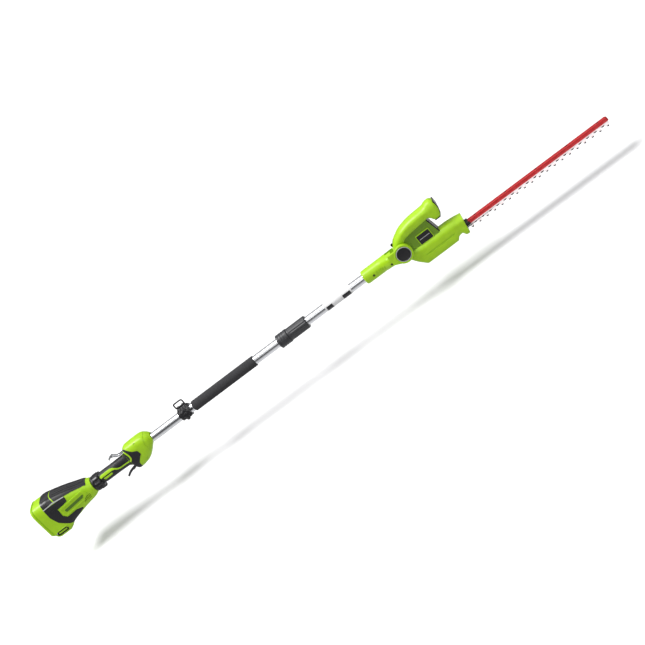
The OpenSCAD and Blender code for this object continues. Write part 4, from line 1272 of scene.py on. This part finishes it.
def build_plugs():
    """Flush green caps over the sunk screws of the head and the guard."""
    for name, body, screws in (
        ("head_screw_plugs", "head", HEAD_SCREWS),
        ("guard_screw_plugs", "handle_frame", GUARD_SCREWS),
    ):
        skins = []
        for table, x, z in screws:
            floor = 1.5 - surface_y(table, x, z, 0)
            plug = rod("y", -40, floor, SCREW_POCKET_R - 0.04, x, z, 32)
            skins.append(keep(loft("plug", table, x - 6, x + 6, grow=0.06, step=1), plug))
        piece(join(*skins), name, "lime", body)


def build_head_trim():
    pad_line = fillet(
        [
            (1570, 17), (1578.4, 29), (1582.4, 50), (1582, 67), (1578.6, 71.5), (1577.4, 66), (1578, 48),
            (1574, 33), (1567, 20.6), (1552, 20.6), (1552, 17),
        ],
        [3, 5, 8, 3, 1, 2, 6, 5, 4, 1, 1],
    )
    pad = prism(pad_line, -19, 19)
    for k in range(6):
        z = 30 + 6 * k
        cut(pad, box(1576, 1590, -14, 14, z, z + 1.6))
    piece(pad, "hook_bumper", "black", "head", ["hook_pad"])

    vent = prism(
        fillet([(1527, 36), (1538.5, -21), (1543.8, -21), (1532.2, 39)], [1, 1, 1.5, 1.5]), -18, 18,
    )
    for k in range(7):
        z = -14 + 6.6 * k
        x = 1543 - (z + 21) * 0.19
        cut(vent, prism([(x - 2.4, z), (x + 4, z), (x + 4, z + 2.6), (x - 2.4, z + 2.6)], -14, 14))
    piece(vent, "front_vent_panel", "black", "head", ["front_vent"])

    def plate():
        slab = prism(SIDE_PLATE, 19.2, 21.4)
        return cut(slab, prism(rectangle(1479.5, 1515.5, -2.6, -0.2, 0.8), 20.9, 23))

    piece(both(plate), "side_plates", "black", "head", ["blank_plates"])

    def rim():
        edge = rectangle(1474.2, 1521, -19, 15, 3)
        return cut(prism(edge, 19.2, 21.8), prism(SIDE_PLATE, 18, 23))

    piece(both(rim), "side_plate_rims", "lime", "head")

    def line():
        return prism(rectangle(1480, 1515, -2.3, -0.5, 0.6), 20.6, 21.3)

    piece(both(line), "side_plate_lines", "trim", "head")

    lever = prism(
        fillet(
            [
                (1400, 31.5), (1403, 26), (1415, 24), (1418, 17.4), (1420.4, 17.5), (1422, 23), (1437, 23),
                (1437, 31), (1417, 32.4), (1403, 35),
            ],
            [2, 1.5, 1.5, 0.6, 0.6, 1.5, 3, 3, 8, 2],
        ),
        -4, 4,
    )
    for k in range(3):
        cut(lever, rod("y", -5, 5, 0.8, 1404.5 + 3.4 * k, 35.2 - 0.6 * k, 20))
    cut(lever, rod("y", -5, 5, 1.56, 1433, 27, 32))
    piece(lever, "tilt_release", "black", "tilt_lever", ["tilt_lever"])


# ---- Blades ------------------------------------------------------------------

TOOTH_PITCH = 26.3
FIRST_TOOTH = 1627
TEETH = 19
BLADE_T = 2
UPPER_TOP = -59
LOWER_TOP = -61.1
CRANK_X = 1522.5
STROKE = TOOTH_PITCH / 4
BLADE_HALF = 13.5
TOOTH_BASE = 7.5
TOOTH_NOSE = 3.0
BEVEL_W = 1.15
BEVEL_D = 0.75
DARK_TIP = 4.2
BOLT_XS = [1650 + 108 * k for k in range(5)]


def blade_outline(tip, first, count):
    half, base, nose = BLADE_HALF, TOOTH_BASE, TOOTH_NOSE
    front = FIRST_TOOTH + TOOTH_PITCH * (TEETH - 1) + base + 0.5
    teeth = []
    for i in range(count):
        x = first + TOOTH_PITCH * i
        teeth += [
            (x - base, half), (x - nose, tip - 0.8), (x - nose + 0.9, tip), (x + nose - 0.9, tip),
            (x + nose, tip - 0.8), (x + base, half),
        ]
    upper = [(CRANK_X + 20.5, half)] + teeth + [(front, half)]
    yoke = [(CRANK_X + 16.5, 20), (CRANK_X - 16.5, 20), (CRANK_X - 20.5, 14)]
    return [(x, -y) for x, y in yoke] + [(x, -y) for x, y in upper] + upper[::-1] + yoke


def build_blade(name, node, tip, first, count, top, ground_up):
    """A toothed plate with ground bevels on the teeth, slotted for the guide bolts."""
    edge = np.array(blade_outline(tip, first, count))
    plate = prism(edge, top - BLADE_T, top, "z")
    under = top - BLADE_T
    flat, deep = (top + 1, top - BEVEL_D) if ground_up else (under - 1, under + BEVEL_D)
    for side, i, way in itertools.product((-1, 1), range(count), (-1, 1)):
        x = first + TOOTH_PITCH * i
        a = np.array([x + way * TOOTH_BASE, BLADE_HALF * side])
        b = np.array([x + way * TOOTH_NOSE, tip * side])
        along = (b - a) / np.linalg.norm(b - a)
        across = np.array([along[1], -along[0]])
        if across[0] * way < 0:
            across = -across
        cut(plate, wedge_along(a - along * 1.5, b + along * 3, across, BEVEL_W, deep, flat))
    slot = CRANK_X - 10.7, CRANK_X + 10.7
    cut(plate, box(*slot, -STROKE - 9.4, STROKE + 9.4, top - 3, top + 1))
    for x in BOLT_XS:
        hole = rectangle(x - 10.3, x + 10.3, -3.5, 3.5, 3.4)
        cut(plate, prism(hole, top - 3, top + 1, "z"))
    blunt = box(1600, 2120, -tip - 1, tip + 1, top - 3, top + 1)
    cut(blunt, box(1590, 2130, DARK_TIP - tip, tip - DARK_TIP, top - 4, top + 2))
    ends = keep(copy(plate, name + "_ends"), copy(blunt, "blunt"))
    cut(plate, blunt)
    piece(plate, name, "ground_steel", node, [node], 12)
    piece(ends, name + "_tips", "dark_steel", node, angle=12)


def wedge_along(a, b, across, bevel, deep, flat):
    """A three-sided bar that grinds one edge of a tooth from a to b."""
    rings = []
    for c in (a, b):
        outer, inner = c + across * 1.0, c - across * bevel
        way = 1 if flat > deep else -1
        surface = flat - way * 1.0
        rings.append(
            np.array(
                [
                    [outer[0], outer[1], deep - way * 0.9],
                    [outer[0], outer[1], flat],
                    [inner[0] - across[0] * 1.3, inner[1] - across[1] * 1.3, flat],
                    [inner[0], inner[1], surface],
                ]
            )
        )
    return stack("wedge", rings)


def build_bar():
    start, stop, half = 1548, 2113, 8
    low, high = -58.9, -47.5
    edge = fillet(
        [
            (-half, low), (-half, high), (half, high), (half, low), (half - 2, low), (half - 2, high - 2.5),
            (2 - half, high - 2.5), (2 - half, low),
        ],
        [0.4, 1.6, 1.6, 0.4, 0.3, 0.6, 0.6, 0.3],
    )
    bar = prism(edge, start, stop, "x")
    nose = prism([(stop - 9, high + 1), (stop + 2, high + 1), (stop + 2, high - 6)], -20, 20)
    cut(bar, nose)
    for side in (-1, 1):
        cut(
            bar,
            prism(
                [(stop - 6, 9 * side), (stop + 2, 9 * side), (stop + 2, 3.5 * side)], low - 2, high + 2,
                "z",
            ),
        )
    for x in BOLT_XS:
        cut(bar, rod("z", high - 1.0, high + 2, 3.6, x, 0, 32))
    piece(bar, "guide_bar", "red", "head", ["blade_bar"], 20)
    rivets = []
    for x in BOLT_XS:
        button = turned(
            "rivet", [(high - 1.2, 3.3), (high - 0.5, 3.2), (high - 0.1, 2.2), (high, 0.5)], "z", (x, 0),
            count=32,
        )
        rivets.append(button)
    piece(join(*rivets), "guide_rivets", "dark_steel", "head")


def hexagon(a, s):
    """Scales a turned radius into six flats; s, the place along the axis, doesn't change it."""
    return np.cos(np.pi / 6) / np.cos((a % (np.pi / 3)) - np.pi / 6)


def build_bolts():
    head = [(-66.8, 4.2), (-66.3, 5.2), (-65.6, 5.5), (-63.3, 5.5)]
    bolts = []
    for x in BOLT_XS:
        bolt = turned("bolt", head, "z", (x, 0), hexagon, 48)
        join(bolt, rod("z", -64, -52.2, 3, x, 0, 32))
        bolts.append(join(bolt, turned("nut", [(-58.7, 5.5), (-54.7, 5.5)], "z", (x, 0), hexagon, 48)))
    piece(join(*bolts), "guide_bolts", "steel", "head", ["blade_bolts"])


def build_gate():
    gate = prism(
        fillet(
            [(-13, -58.7), (13, -58.7), (13, -50), (9.8, -44.2), (-9.8, -44.2), (-13, -50)],
            [0.8, 0.8, 2, 2, 2, 2],
        ),
        1603, 1622, "x",
    )
    for y in (-10.8, 10.8):
        join(gate, prism(rectangle(1604, 1625.5, y - 2, y + 2, 1.2), -58.6, -51, "z"))
    cut(gate, box(1600, 1628, -8.2, 8.2, -60, -47.2))
    cut(gate, box(1610, 1613, -20, 20, -45.4, -40), box(1616, 1618.6, -20, 20, -45.4, -40))
    piece(gate, "blade_guide", "black", "head", ["blade_gate"])


# ---- Carried-over nodes --------------------------------------------------------

CARRIED = {
    "black": ["battery_bulkhead", "power_switch", "pole_socket", "pole_plug"],
    "brass": ["battery_contacts", "crank_gear", "pinion"],
    "board": ["control_board"],
    "steel": [
        "lever_pins", "lever_springs", "pivot_bolt", "detent_wheel", "tilt_lever_pin", "bearings",
        "crank_shaft",
    ],
    "tube": ["lower_tube", "upper_tube"],
    "cable": ["lower_cable", "upper_cable"],
    "dark_steel": ["motor_can"],
    "copper": ["armature"],
    "cast": ["gear_case", "gear_case_base"],
}


def dress_frame():
    for look, names in CARRIED.items():
        for name in names:
            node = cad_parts[name]
            node.data.materials.clear()
            node.data.materials.append(LOOKS[look].material)
            for face in node.data.polygons:
                face.material_index = 0


# ---- Stage --------------------------------------------------------------------


FLOOR_DROP = 100
FLOOR_HALF = 120000
# painted reflection: where the floor's colour, as only shiny parts mirror it, turns from dark to light, in
# metres
PAINTED_REFLECTION_Y = (-0.58, 0.22)


def build_stage():
    floor_z = cad_box[0][2] / MM - FLOOR_DROP
    corners = [(x * FLOOR_HALF, y * FLOOR_HALF, floor_z) for x, y in ((-1, -1), (1, -1), (1, 1), (-1, 1))]
    floor = new_object("floor", corners, [(0, 1, 2, 3)])
    paper = Look("studio_paper", (0.93, 0.93, 0.93), 0.9).mottle(0.004, 2)
    rays = paper.nodes.new("ShaderNodeLightPath").outputs
    where = paper.nodes.new("ShaderNodeSeparateXYZ")
    paper.links.new(paper.place, where.inputs[0])
    # painted reflection: shiny parts see the floor dark on one side and light on the other, unlike the
    # camera
    painted_reflection_band = paper.spread(where.outputs["Y"], 0, 1, *PAINTED_REFLECTION_Y)
    painted_floor_reflection = paper.blend(painted_reflection_band, (0.05, 0.05, 0.052), (0.85, 0.85, 0.86))
    # painted shade: light bounced off the floor is dimmed to darken the parts' undersides, while the camera
    # still sees the pale floor
    painted_dim_bounce = paper.blend(rays["Is Glossy Ray"], (0.42, 0.42, 0.42), painted_floor_reflection)
    paper.links.new(
        paper.blend(rays["Is Camera Ray"], painted_dim_bounce, paper.colour_out), paper.shader.inputs["Base Color"],
    )
    floor.data.materials.append(paper.material)

    world = bpy.data.worlds.new("studio")
    bpy.context.scene.world = world
    world.use_nodes = True
    nodes, links = world.node_tree.nodes, world.node_tree.links
    way = nodes.new("ShaderNodeTexCoord")
    apart = nodes.new("ShaderNodeSeparateXYZ")
    ramp = nodes.new("ShaderNodeValToRGB")
    links.new(way.outputs["Generated"], apart.inputs[0])
    links.new(apart.outputs["Z"], ramp.inputs[0])
    ramp.color_ramp.elements[0].position = 0.10
    ramp.color_ramp.elements[0].color = (0.03, 0.03, 0.033, 1)
    ramp.color_ramp.elements[1].position = 0.55
    ramp.color_ramp.elements[1].color = (0.95, 0.95, 0.96, 1)
    middle = ramp.color_ramp.elements.new(0.36)
    middle.color = (0.10, 0.10, 0.105, 1)
    links.new(ramp.outputs[0], nodes["Background"].inputs["Color"])
    nodes["Background"].inputs["Strength"].default_value = 0.8

    def soft_sun(name, toward, strength, spread_degrees):
        light = bpy.data.lights.new(name, "SUN")
        light.energy = strength
        light.angle = math.radians(spread_degrees)
        obj = bpy.data.objects.new(name, light)
        obj.rotation_euler = Vector(toward).to_track_quat("-Z", "Y").to_euler()
        bpy.context.scene.collection.objects.link(obj)

    soft_sun("key_light", (0.36, 0.14, -1.0), 2.55, 24)
    soft_sun("side_light", (-0.1, 1.0, -0.5), 0.46, 40)


def build_camera():
    """A view from the right, behind and above, rolled so that the pole rises across the picture."""
    azimuth, elevation, roll = (math.radians(v) for v in (13.0, 20.5, 41.46))
    distance, target = 4.2, Vector((1.095, 0.0, -0.033))
    ahead = Vector(
        (
            -math.sin(azimuth) * math.cos(elevation), math.cos(azimuth) * math.cos(elevation),
            -math.sin(elevation),
        )
    )
    level = Vector((math.cos(azimuth), math.sin(azimuth), 0))
    rise = level.cross(ahead)
    right = math.cos(roll) * level - math.sin(roll) * rise
    up = math.sin(roll) * level + math.cos(roll) * rise
    camera = bpy.data.cameras.new("camera")
    camera.sensor_width = 36
    camera.lens = 78.5
    camera.clip_end = 100
    obj = bpy.data.objects.new("camera", camera)
    turned_to = Matrix((right, up, -ahead)).transposed().to_4x4()
    obj.matrix_world = Matrix.Translation(target - ahead * distance) @ turned_to
    bpy.context.scene.collection.objects.link(obj)
    bpy.context.scene.camera = obj
    bpy.context.scene.view_settings.view_transform = "Standard"


dress_frame()
build_housing()
build_housing_trim()
build_latch()
build_collar()
build_handle()
build_saddle()
build_overmould()
build_levers()
build_foam()
build_clamp()
build_coupler()
build_label()
build_neck()
build_pivot()
build_head()
build_head_trim()
build_screws()
build_plugs()
build_blade("upper_teeth", "upper_blade", 21, FIRST_TOOTH + TOOTH_PITCH / 2, TEETH - 1, UPPER_TOP, True)
build_blade("lower_teeth", "lower_blade", 34, FIRST_TOOTH, TEETH, LOWER_TOP, False)
build_bar()
build_bolts()
build_gate()
build_stage()
build_camera()
